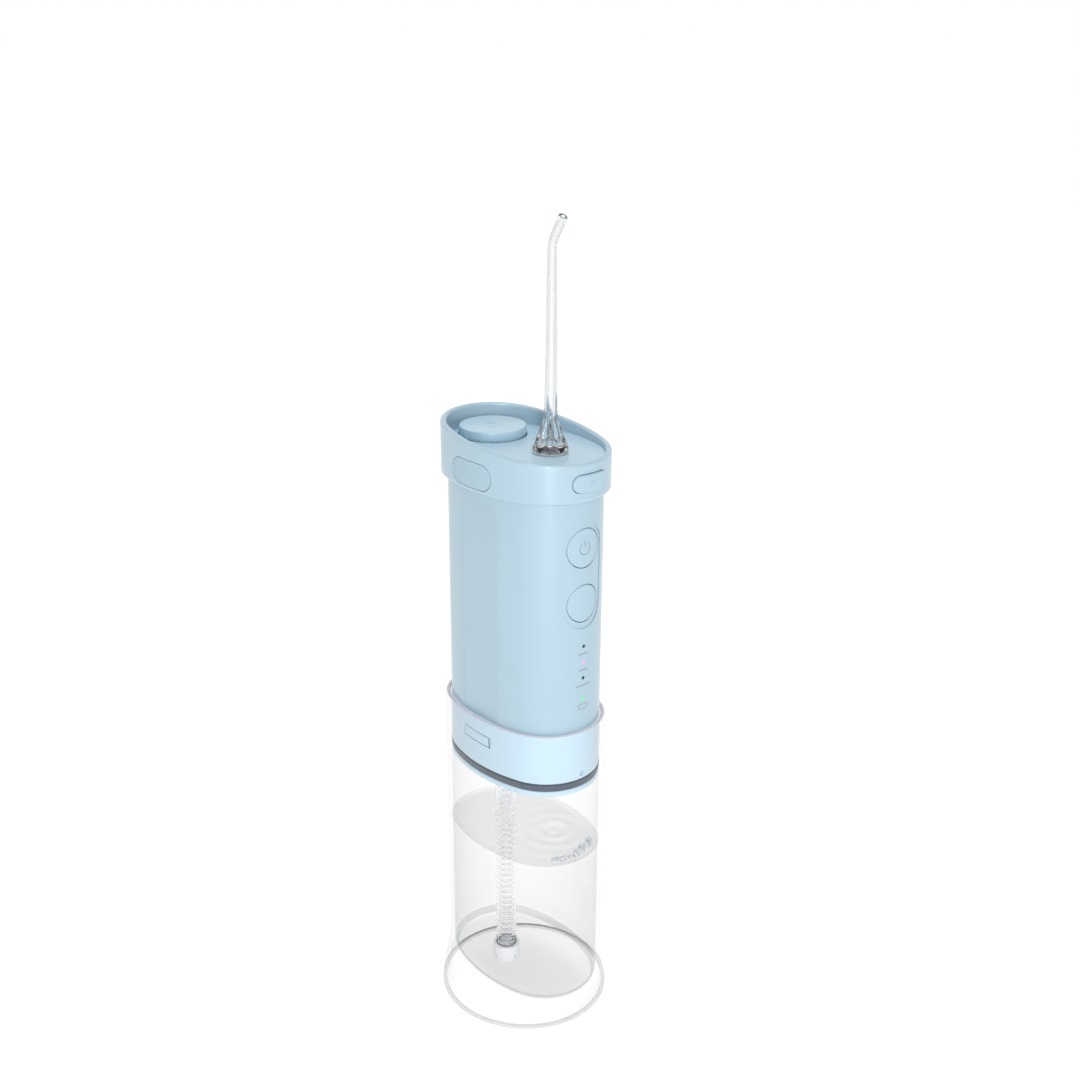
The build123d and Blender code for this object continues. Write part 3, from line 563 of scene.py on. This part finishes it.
def smooth_copy(node, name, material):
    """A merged and smoothly shaded copy that stands for a loaded part."""
    source = nodes[node]
    piece = bpy.data.objects.new(name, source.data.copy())
    scene.collection.objects.link(piece)
    only(piece)
    bpy.ops.object.mode_set(mode="EDIT")
    bpy.ops.mesh.select_all(action="SELECT")
    bpy.ops.mesh.remove_doubles(threshold=MERGE_GAP)
    bpy.ops.object.mode_set(mode="OBJECT")
    bpy.ops.object.shade_smooth_by_angle(angle=radians(SMOOTH_ANGLE))
    true_wall_normals(piece)
    settle(piece, body_with[node], material)
    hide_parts(node)


casings = {
    "handle_shell": body_blue,
    "head_shell": head_blue,
    "top_deck": deck_blue,
    "storage_cap": deck_blue,
    "power_button": button_blue,
    "mode_button": button_blue,
    "release_button": head_blue,
    "port_cover": cover_blue,
    "base_collar": collar_blue,
    "collar_seal": seal_grey,
    "collar_latch_left": collar_blue,
    "collar_latch_right": collar_blue,
}
for node, material in casings.items():
    smooth_copy(node, node + "_smooth", material)
print("smoothed", len(casings), "casings")

# %% [markdown]
# ## Rings
#
# The reservoir, the water, the hose and the nozzle are all walls that go round. Each is drawn the
# same way: a circle is added, shaped into the first ring, and its edges are extruded to the next
# ring again and again, like pulling a tube. Every vertex remembers its station round the ring, so
# each new ring can be any outline: an oval, a circle, or a fluted bell.

# %% Ring helpers


def oval_ring(half_length, half_width, nose_radius, height, count):
    """Points of a four-arc oval, evenly spread by the direction that the wall faces."""
    nose_y = half_length - nose_radius
    side_radius = (nose_y**2 + half_width**2 - nose_radius**2) / (2 * (half_width - nose_radius))
    side_x = side_radius - half_width
    join = atan2(nose_y, side_x)
    points = []
    for station in range(count):
        facing = 2 * pi * station / count
        across, along = cos(facing), sin(facing)
        if abs(along) <= sin(join):
            centre = (-side_x if across > 0 else side_x, 0)
            radius = side_radius
        else:
            centre = (0, nose_y if along > 0 else -nose_y)
            radius = nose_radius
        points.append((centre[0] + radius * across, centre[1] + radius * along, height))
    return points


def body_ring(inset, height, count):
    """The body's oval, moved in by an inset."""
    return oval_ring(HALF_LENGTH - inset, HALF_WIDTH - inset, NOSE_RADIUS - inset, height, count)


def round_ring(x, y, radius, height, count):
    """A level circle."""
    return [
        (x + radius * cos(2 * pi * s / count), y + radius * sin(2 * pi * s / count), height)
        for s in range(count)
    ]


def pull_rings(name, rings, close_start=True, close_end=True, angle=40):
    """Extrudes a circle through a list of rings, closes its ends and shades it smooth."""
    count = len(rings[0])
    bpy.ops.object.select_all(action="DESELECT")
    bpy.ops.mesh.primitive_circle_add(vertices=count, radius=0.01, fill_type="NOTHING")
    piece = bpy.context.object
    piece.name = name
    bpy.ops.object.mode_set(mode="EDIT")
    mesh = bmesh.from_edit_mesh(piece.data)
    station = mesh.verts.layers.int.new("station")
    order = sorted(mesh.verts, key=lambda v: atan2(v.co.y, v.co.x) % (2 * pi))
    for index, vertex in enumerate(order):
        vertex[station] = index

    def shape(ring):
        mesh = bmesh.from_edit_mesh(piece.data)
        station = mesh.verts.layers.int["station"]
        for vertex in mesh.verts:
            if vertex.select:
                vertex.co = ring[vertex[station]]
        bmesh.update_edit_mesh(piece.data)

    shape(rings[0])
    if close_start:
        bpy.ops.mesh.duplicate()
        bpy.ops.mesh.edge_face_add()
        bpy.ops.mesh.select_all(action="DESELECT")
        mesh = bmesh.from_edit_mesh(piece.data)
        for edge in mesh.edges:
            if not edge.link_faces:
                edge.select = True
        mesh.select_flush(True)
        for vertex in mesh.verts:
            vertex.select = any(edge.select for edge in vertex.link_edges)
        bmesh.update_edit_mesh(piece.data)
    for ring in rings[1:]:
        bpy.ops.mesh.extrude_region_move()
        shape(ring)
    if close_end:
        bpy.ops.mesh.edge_face_add()
    bpy.ops.mesh.select_all(action="SELECT")
    bpy.ops.mesh.remove_doubles(threshold=0.0000005)
    bpy.ops.mesh.normals_make_consistent(inside=False)
    bpy.ops.object.mode_set(mode="OBJECT")
    only(piece)
    bpy.ops.object.shade_smooth_by_angle(angle=radians(angle))
    return piece


def rounded(start, corner, end, steps):
    """Points of a smooth corner between two places on a profile, each (inset, height)."""
    points = []
    for step in range(steps + 1):
        t = step / steps
        a, b, c = (1 - t) ** 2, 2 * t * (1 - t), t * t
        points.append(tuple(a * s + b * k + c * e for s, k, e in zip(start, corner, end)))
    return points


# %% [markdown]
# ## The reservoir
#
# It is one clear moulding: a cup with a rounded floor, and a thin skirt that flares from the oval
# to a nearly round foot. The profile is pulled in one piece, from the middle of the underside, out
# inside the skirt, under its edge, up the outside, over the rim, down the inside and across the
# floor, so the wall has its true thickness everywhere. The floor and the round corner inside it get
# finishes of their own. The corner's is painted shade: a grey band where bent light would draw a
# grey line.

# %% Pull the reservoir
RIM_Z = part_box("reservoir")[1][2]
RING_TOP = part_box("foot_ring")[1][2]
FOOT_LENGTH, FOOT_WIDTH, FOOT_NOSE = 0.03037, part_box("reservoir")[1][0], 0.0285
WALL, FLOOR_LOW, FLOOR_TOP = 0.0018, 0.0074, 0.0094
SKIRT_HIGH, SKIRT_WALL, SKIRT_STEPS, FLARE_POWER = 0.0165, 0.0014, 13, 1.25
UNDERSIDE_INSET, FOOT_EDGE, RIM_ROUND = 0.006, 0.0003, 0.0005
CORNER_HIGH, CORNER_WIDE, CORNER_ZONE = 0.0025, 0.0035, 0.0024
SLACK = 0.0001
FLOOR_SLOT, CORNER_SHADE_SLOT = 1, 2
AROUND = 192


def skirt_ring(share, wall, height):
    """The flare: share 0 is the body's oval and share 1 is the foot."""
    length = HALF_LENGTH + (FOOT_LENGTH - HALF_LENGTH) * share - wall
    width = HALF_WIDTH + (FOOT_WIDTH - HALF_WIDTH) * share - wall
    nose = NOSE_RADIUS + (FOOT_NOSE - NOSE_RADIUS) * share - wall
    return oval_ring(length, width, nose, height, AROUND)


def flare(height):
    """How far the skirt has opened at a height."""
    return max(0.0, 1 - (height - RING_TOP) / (SKIRT_HIGH - RING_TOP)) ** FLARE_POWER


rings = [skirt_ring(flare(FLOOR_LOW), UNDERSIDE_INSET, FLOOR_LOW)]
for height in (FLOOR_LOW, 0.0058, 0.0042, 0.0028, 0.0016, RING_TOP):
    rings.append(skirt_ring(flare(height), SKIRT_WALL, height))
rings.append(skirt_ring(flare(RING_TOP), FOOT_EDGE, RING_TOP))
for step in range(1, SKIRT_STEPS + 1):
    height = RING_TOP + FOOT_EDGE + (SKIRT_HIGH - RING_TOP) * step / SKIRT_STEPS
    rings.append(skirt_ring(flare(height), 0.0, height))
rim_low, corner_top = RIM_Z - RIM_ROUND, FLOOR_TOP + CORNER_HIGH
over_rim = rounded((0, rim_low), (0, RIM_Z), (RIM_ROUND, RIM_Z), 5)
down_rim = rounded((WALL - RIM_ROUND, RIM_Z), (WALL, RIM_Z), (WALL, rim_low), 5)
corner = rounded((WALL, corner_top), (WALL, FLOOR_TOP), (WALL + CORNER_WIDE, FLOOR_TOP), 8)
for inset, height in over_rim + down_rim + corner:
    rings.append(body_ring(inset, height, AROUND))
reservoir = pull_rings("clear_cup", rings)
settle(reservoir, "tank", clear_tank)
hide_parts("reservoir")
reservoir.data.materials.append(clear_floor)
reservoir.data.materials.append(painted_corner_shade)
# The floor's faces take their own finish, and the round corner's faces take the painted grey shade.
for face in reservoir.data.polygons:
    height = face.center.z
    if FLOOR_LOW - SLACK < height < FLOOR_TOP + CORNER_ZONE:
        inward = face.normal.dot(oval_facing(face.center.x, face.center.y)) < -0.05
        if abs(face.normal.z) > 0.9:
            face.material_index = FLOOR_SLOT
        elif inward and height > FLOOR_TOP - SLACK:
            face.material_index = CORNER_SHADE_SLOT
print("reservoir faces:", len(reservoir.data.polygons))

# %% [markdown]
# ## Water
#
# The reservoir is a little over half full. The water reaches slightly into the plastic, so no gap
# of air shows between the two. Its top is pulled in towards the middle with soft ripples, and has
# a finish of real gloss over painted reflection: a grey that grows as the top is seen aslant. The
# real reservoir is emptied before the handle slides down.

# %% Pour the water
WATER_Z, WATER_KEEP = 0.0630, 0.03
OVERLAP, WATER_FOOT, WATER_CORNER, SHORE = 0.0003, 0.0034, 0.0022, 0.0009
SWIRL = Vector((0.0065, -0.0085))
WAVE, WAVE_RATE, DIMPLE, MENISCUS = 0.00055, 1150, 0.0009, 0.0008
SURFACE_STEPS, SURFACE_REACH = 25, 0.0179
TOP_REFLECTION_SLOT = 1


def fade(distance, rate):
    """A share that falls away from 1 with distance."""
    return pow(2.718, -distance * rate)


def ripple(x, y):
    """Height of the surface above its mean level: a swirl with fading rings."""
    reach = (Vector((x, y)) - SWIRL).length
    return WAVE * cos(reach * WAVE_RATE) * fade(reach, 130) - DIMPLE * fade(reach, 330)


water_low, water_side = FLOOR_TOP - OVERLAP, WALL - OVERLAP
foot, turned_up = (WALL + WATER_FOOT, water_low), (water_side, FLOOR_TOP + WATER_CORNER)
corner = rounded(foot, (water_side, water_low), turned_up, 8)
rings = [body_ring(inset, height, AROUND) for inset, height in corner]
rings.append(body_ring(water_side, WATER_Z + SHORE, AROUND))
for step in range(1, SURFACE_STEPS + 1):
    inset = WALL + SURFACE_REACH * (step / SURFACE_STEPS) ** 1.1
    meniscus = MENISCUS * fade(inset - WALL, 1600)
    flat = body_ring(inset, 0, AROUND)
    rings.append([(x, y, WATER_Z + meniscus + ripple(x, y)) for x, y, z in flat])
water = pull_rings("water", rings)
settle(water, "tank", water_clear)
water.data.materials.append(water_top_painted_reflection)
for face in water.data.polygons:
    if face.normal.z > 0.5:
        face.material_index = TOP_REFLECTION_SLOT
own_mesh(water)
print("water faces:", len(water.data.polygons))

# %% [markdown]
# ## Suction hose
#
# The pump drinks through a corrugated hose that hangs from the collar and ends in a filter on the
# floor. Its folds let the real hose shorten as the handle slides down; here it keeps its length.
# Each fold is an outer and an inner crest, pulled as rings, first up the outside and then down the
# inside.

# %% Pull the corrugated hose
hose_low, hose_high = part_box("suction_hose")
HOSE_X, HOSE_Y = (hose_low[0] + hose_high[0]) / 2, (hose_low[1] + hose_high[1]) / 2
HOSE_RADIUS = (hose_high[0] - hose_low[0]) / 2
HOSE_DIP, HOSE_WALL, HOSE_PITCH = 0.00072, 0.0005, 0.0023
HOSE_AROUND, RINGS_PER_FOLD = 40, 6


def fold(height):
    """How deep the corrugation dips at a height."""
    return HOSE_DIP * (0.5 - 0.5 * cos(2 * pi * (height - hose_low[2]) / HOSE_PITCH))


hose_length = hose_high[2] - hose_low[2]
hose_steps = int(hose_length / (HOSE_PITCH / RINGS_PER_FOLD))
heights = [hose_low[2] + hose_length * s / hose_steps for s in range(hose_steps + 1)]
outside = [round_ring(HOSE_X, HOSE_Y, HOSE_RADIUS - fold(z), z, HOSE_AROUND) for z in heights]
inside = [
    round_ring(HOSE_X, HOSE_Y, HOSE_RADIUS - HOSE_WALL - fold(z), z, HOSE_AROUND)
    for z in reversed(heights)
]
hose = pull_rings("corrugated_hose", outside + inside + outside[:1], False, False, 60)
slide = next(joint for joint in frame["joints"] if joint["name"] == "handle_slide")
travel = -slide["range_m"][0]
settle(hose, "tank", clear_silicone)
1 - travel / hose_length
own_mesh(hose)
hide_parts("suction_hose")
print("hose folds:", round(hose_length / HOSE_PITCH))

# %% [markdown]
# ## Nozzle
#
# The nozzle is moulded clear. Its foot flares into a bell with eight flutes, which give the fingers
# a grip, and its shaft thins towards a tip that leans forward. The rings follow the shaft's line,
# so at the bend they tilt with it. The water channel is pulled the same way, back down the inside.

# %% Pull the nozzle
STEM, STEM_FOOT = 0.0030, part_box("nozzle")[0][2]
turret_low, turret_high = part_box("nozzle_turret")
NOZZLE_Y = (turret_low[1] + turret_high[1]) / 2
DECK_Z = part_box("top_deck")[1][2]
BEND_Z, BEND_RADIUS, LEAN, TIP_LENGTH = 0.2655, 0.006, radians(30), 0.0109
NOZZLE_AROUND, FLUTES = 96, 8
BEND_STEPS, BEND_THICK = 8, 0.00136
CHANNEL, JET_HOLE, JET_MOUTH = 0.00095, 0.00045, 0.0008
JET_DEPTH, MOUTH_DEPTH = 0.002, 0.0002


def along_shaft(distance):
    """Centre and lean of the shaft at a distance above the deck."""
    height = DECK_Z + distance
    if height <= BEND_Z:
        return Vector((0, NOZZLE_Y, height)), 0.0
    turned = min((height - BEND_Z) / BEND_RADIUS, LEAN)
    centre = Vector((0, NOZZLE_Y - BEND_RADIUS * (1 - cos(turned)), BEND_Z + BEND_RADIUS * sin(turned)))
    rest = max(0.0, height - BEND_Z - BEND_RADIUS * LEAN)
    return centre + Vector((0, -sin(turned), cos(turned))) * rest, turned


def shaft_ring(distance, radius, flute=0.0):
    """A ring across the shaft, with its flutes cut to a depth."""
    centre, turned = along_shaft(distance)
    ring = []
    for station in range(NOZZLE_AROUND):
        angle = 2 * pi * station / NOZZLE_AROUND
        wave = (0.5 - 0.5 * cos(FLUTES * angle)) ** 1.6
        reach = radius - flute * wave
        across, along = reach * cos(angle), reach * sin(angle)
        offset = Vector((across, along * cos(turned), along * sin(turned)))
        ring.append(tuple(centre + offset))
    return ring


bend_start, bend_length = BEND_Z - DECK_Z, BEND_RADIUS * LEAN
shaft_end = bend_start + TIP_LENGTH
# Distance above the deck, radius, and depth of the flutes
profile = [
    (STEM_FOOT - DECK_Z, STEM - 0.0005, 0),
    (STEM_FOOT - DECK_Z + 0.0005, STEM, 0),
    (0.0001, STEM, 0),
    (0.0002, 0.0050, 0),
    (0.0004, 0.0054, 0),
    (0.0009, 0.00563, 0),
    (0.0014, 0.00565, 0),
    (0.0019, 0.00555, 0),
    (0.0023, 0.00530, 0.0001),
    (0.0027, 0.00505, 0.0005),
    (0.0034, 0.00485, 0.0010),
    (0.0045, 0.00455, 0.00125),
    (0.0060, 0.00400, 0.0011),
    (0.0078, 0.00335, 0.0008),
    (0.0095, 0.00275, 0.00045),
    (0.0110, 0.00232, 0.0002),
    (0.0125, 0.00206, 0.00005),
    (0.0140, 0.00198, 0),
    (0.0300, 0.00182, 0),
    (0.0480, 0.00160, 0),
    (bend_start - 0.001, 0.00138, 0),
]
for step in range(BEND_STEPS + 1):
    profile.append((bend_start + bend_length * step / BEND_STEPS, BEND_THICK, 0))
straight = TIP_LENGTH - bend_length
for share, radius in ((0.25, 0.00138), (0.6, 0.00143), (0.85, 0.00147), (0.95, 0.00146), (1.0, 0.00132)):
    profile.append((bend_start + bend_length + straight * share, radius, 0))
rings = [shaft_ring(distance, radius, flute) for distance, radius, flute in profile]
for distance, radius, flute in reversed(profile):
    if distance > shaft_end - JET_DEPTH:
        at_mouth = distance > shaft_end - MOUTH_DEPTH
        rings.append(shaft_ring(distance, JET_MOUTH if at_mouth else JET_HOLE))
    elif distance > 0:
        rings.append(shaft_ring(distance, min(CHANNEL, radius * 0.55)))
rings.append(shaft_ring(-0.002, CHANNEL))
rings.append(shaft_ring(STEM_FOOT - DECK_Z, CHANNEL))
nozzle = pull_rings("fluted_nozzle", rings + rings[:1], False, False, 50)
settle(nozzle, "nozzle", clear_nozzle)
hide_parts("nozzle")
print("nozzle faces:", len(nozzle.data.polygons))

# %% [markdown]
# ## Frosted rim
#
# The rim of the reservoir is left matt where the mould closed, so it catches light as a soft, pale
# line. It is a very thin ring that lies on the clear wall.

# %% Lay the frosted rim
RIM_LIFT = 0.00004
# Inset and height of each corner of the ring's section
section = [
    (0.00045, RIM_Z + RIM_LIFT),
    (0.00050, RIM_Z + 2 * RIM_LIFT),
    (WALL - 0.00050, RIM_Z + 2 * RIM_LIFT),
    (WALL - 0.00010, RIM_Z - 0.0003 + RIM_LIFT),
    (WALL - 0.00014, RIM_Z - 0.0003),
]
rings = [body_ring(inset, height, AROUND) for inset, height in section]
rim = pull_rings("frosted_rim", rings + rings[:1], False, False)
settle(rim, "tank", rim_frost)
print("rim faces:", len(rim.data.polygons))

# %% [markdown]
# ## Marks
#
# The marks are thin ribbons that follow the surface under them. A ribbon starts as a flat grid two
# rows wide. Each column is moved to its place on the mark's path, and a solidify modifier gives it
# the thickness of ink. The path is drawn flat, then wrapped on the nose or laid on a level top.

# %% Marks and lights
SHELL_INSET = 0.00214
NOSE_CENTRE = -NOSE_Y
INK = 0.00003
BUTTON_STROKE, BAR_STROKE, BATTERY_STROKE = 0.00032, 0.00042, 0.00026
CAP_STROKE, PILL_STROKE = 0.0003, 0.00028
PULSE_Z, CLEAN_Z, SENSITIVE_Z, CHARGE_Z = 0.1423, 0.1367, 0.1312, 0.1237
MARK_DROP = 0.0026
SMALL_LENS, BRIGHT_LENS, LENS_DOME = 0.00058, 0.00066, 0.00018


def on_nose(radius):
    """Wraps flat points (across, height) round the nose."""
    def place(u, v):
        angle = u / radius
        return (radius * sin(angle), NOSE_CENTRE - radius * cos(angle), v)
    return place


def ribbon(name, path, width, place, closed=False):
    """A flat ribbon along a path of (u, v) points, moved into space by a placing function."""
    count = len(path)
    bpy.ops.object.select_all(action="DESELECT")
    bpy.ops.mesh.primitive_grid_add(x_subdivisions=count - 1 + closed, y_subdivisions=1, size=2)
    piece = bpy.context.object
    piece.name = name
    columns = count + closed
    for vertex in piece.data.vertices:
        column = round((vertex.co.x + 1) / 2 * (columns - 1))
        side = 1 if vertex.co.y > 0 else -1
        here = Vector(path[column % count])
        if closed:
            before, after = Vector(path[(column - 1) % count]), Vector(path[(column + 1) % count])
        else:
            before, after = Vector(path[max(column - 1, 0)]), Vector(path[min(column + 1, count - 1)])
        along = (after - before).normalized()
        across = Vector((-along.y, along.x)) * side * width / 2
        vertex.co = place(*(here + across))
    only(piece)
    bpy.ops.object.mode_set(mode="EDIT")
    bpy.ops.mesh.select_all(action="SELECT")
    bpy.ops.mesh.remove_doubles(threshold=0.000001)
    bpy.ops.object.mode_set(mode="OBJECT")
    skin = piece.modifiers.new("ink", "SOLIDIFY")
    skin.thickness = INK
    skin.offset = 0
    bpy.ops.object.modifier_apply(modifier="ink")
    return piece


def arc(u, v, radius, start, end, count=32):
    """Flat points of an arc, with angles in degrees."""
    turns = [radians(start + (end - start) * i / (count - 1)) for i in range(count)]
    return [(u + radius * cos(t), v + radius * sin(t)) for t in turns]


def line(first, last, count=12):
    """Flat points of a straight stroke."""
    return [tuple(a + (b - a) * i / (count - 1) for a, b in zip(first, last)) for i in range(count)]


def stadium(u, v, half, radius):
    """Flat points of a stadium outline."""
    return arc(u + half, v, radius, -90, 90, 14) + arc(u - half, v, radius, 90, 270, 14)


shell_front = on_nose(NOSE_RADIUS - SHELL_INSET + INK)
button_low, button_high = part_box("power_button")
POWER_Z = (button_low[2] + button_high[2]) / 2
BUTTON_FRONT = on_nose(-button_low[1] + NOSE_CENTRE + INK)
power_ring = arc(0, POWER_Z, 0.0021, 125, 415, 40)
power_stem = line((0, POWER_Z + 0.0006), (0, POWER_Z + 0.0027))
for name, path in {"power_ring": power_ring, "power_stem": power_stem}.items():
    mark = ribbon(name, path, BUTTON_STROKE, BUTTON_FRONT)
    settle(mark, body_with["power_button"], ink_grey)
# A plain bar under each mode light, as half its length and its height
bars = {
    "mark_pulse": (0.0021, PULSE_Z - MARK_DROP),
    "mark_clean": (0.0018, CLEAN_Z - MARK_DROP),
    "mark_sensitive": (0.0030, SENSITIVE_Z - MARK_DROP),
}
for name, (half, height) in bars.items():
    mark = ribbon(name, line((-half, height), (half, height)), BAR_STROKE, shell_front)
    settle(mark, body_with["handle_shell"], ink_grey)
outline = stadium(0, CHARGE_Z - MARK_DROP, 0.0011, 0.00085)
battery_mark = ribbon("mark_battery", outline, BATTERY_STROKE, shell_front, closed=True)
settle(battery_mark, "handle", ink_grey)

cap_low, cap_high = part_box("storage_cap")
CAP_Y = (cap_low[1] + cap_high[1]) / 2


def on_cap(u, v):
    """Lays flat points on the cap's level top."""
    return (u, CAP_Y + v, cap_high[2] + INK)


for name, path in {
    "cap_mark_arc": arc(0, 0, 0.0032, 200, 340),
    "cap_mark_bar": line((-0.0024, 0.0012), (0.0024, 0.0012)),
    "cap_mark_stem": line((0, -0.0010), (0, 0.0022)),
}.items():
    mark = ribbon(name, path, CAP_STROKE, on_cap)
    settle(mark, body_with["storage_cap"], ink_blue)

pill_low, pill_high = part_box("release_button")
PILL_Z = (pill_low[2] + pill_high[2]) / 2
PILL_FRONT = on_nose(-pill_low[1] + NOSE_CENTRE + INK)
for name, lift in {"pill_mark_high": 0.0005, "pill_mark_low": -0.0005}.items():
    path = line((-0.0011, PILL_Z + lift), (0.0011, PILL_Z + lift))
    mark = ribbon(name, path, PILL_STROKE, PILL_FRONT)
    settle(mark, body_with["release_button"], ink_blue)


def lens(name, height, radius, material, node):
    """A small domed light lens on the nose."""
    bpy.ops.object.select_all(action="DESELECT")
    bpy.ops.mesh.primitive_uv_sphere_add(segments=32, ring_count=16, radius=1)
    piece = bpy.context.object
    piece.name = name
    front = NOSE_CENTRE - NOSE_RADIUS + SHELL_INSET
    for vertex in piece.data.vertices:
        x, y, z = vertex.co
        vertex.co = (x * radius, front + y * LENS_DOME, height + z * radius)
    only(piece)
    bpy.ops.object.shade_smooth()
    settle(piece, "handle", material)
    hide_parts(node)


lens("lens_pulse", PULSE_Z, SMALL_LENS, lamp_dark, "mode_lights")
lens("lens_clean", CLEAN_Z, BRIGHT_LENS, lamp_pink, "mode_lights")
lens("lens_sensitive", SENSITIVE_Z, SMALL_LENS, lamp_dark, "mode_lights")
lens("lens_charge", CHARGE_Z, BRIGHT_LENS, lamp_green, "charge_light")
print("marks and lights made")

# %% [markdown]
# ## Bubbles
#
# A froth of small bubbles gathers along the front of the water line. Each is a small pale sphere at
# the surface, close to the wall.

# %% Blow the bubbles
BUBBLE_COUNT, BUBBLE_RADII = 60, (0.00035, 0.0005, 0.0006, 0.0008, 0.0011)
FROTH_START, FROTH_END, FROTH_DEPTH, FROTH_LIFT = 238, 314, 0.0014, 0.0008

dice = random.Random(7)
front_line = body_ring(WALL + 0.0010, 0, 360)
bubbles = []
for _ in range(BUBBLE_COUNT):
    station = dice.uniform(FROTH_START, FROTH_END)
    x, y, z = front_line[int(station) % 360]
    radius = dice.choice(BUBBLE_RADII)
    pull = 1 - (radius + dice.uniform(0, FROTH_DEPTH)) / NOSE_RADIUS
    bpy.ops.object.select_all(action="DESELECT")
    bpy.ops.mesh.primitive_uv_sphere_add(segments=20, ring_count=12, radius=radius)
    bubble = bpy.context.object
    for vertex in bubble.data.vertices:
        vertex.co += Vector((x * pull, y * pull, WATER_Z + FROTH_LIFT))
    bubbles.append(bubble)
bpy.ops.object.select_all(action="DESELECT")
for bubble in bubbles:
    bubble.select_set(True)
bpy.context.view_layer.objects.active = bubbles[0]
bpy.ops.object.join()
froth = bpy.context.object
froth.name = "bubbles"
bpy.ops.object.shade_smooth()
settle(froth, "tank", bubble_clear)
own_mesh(froth)
print("bubbles:", len(bubbles))
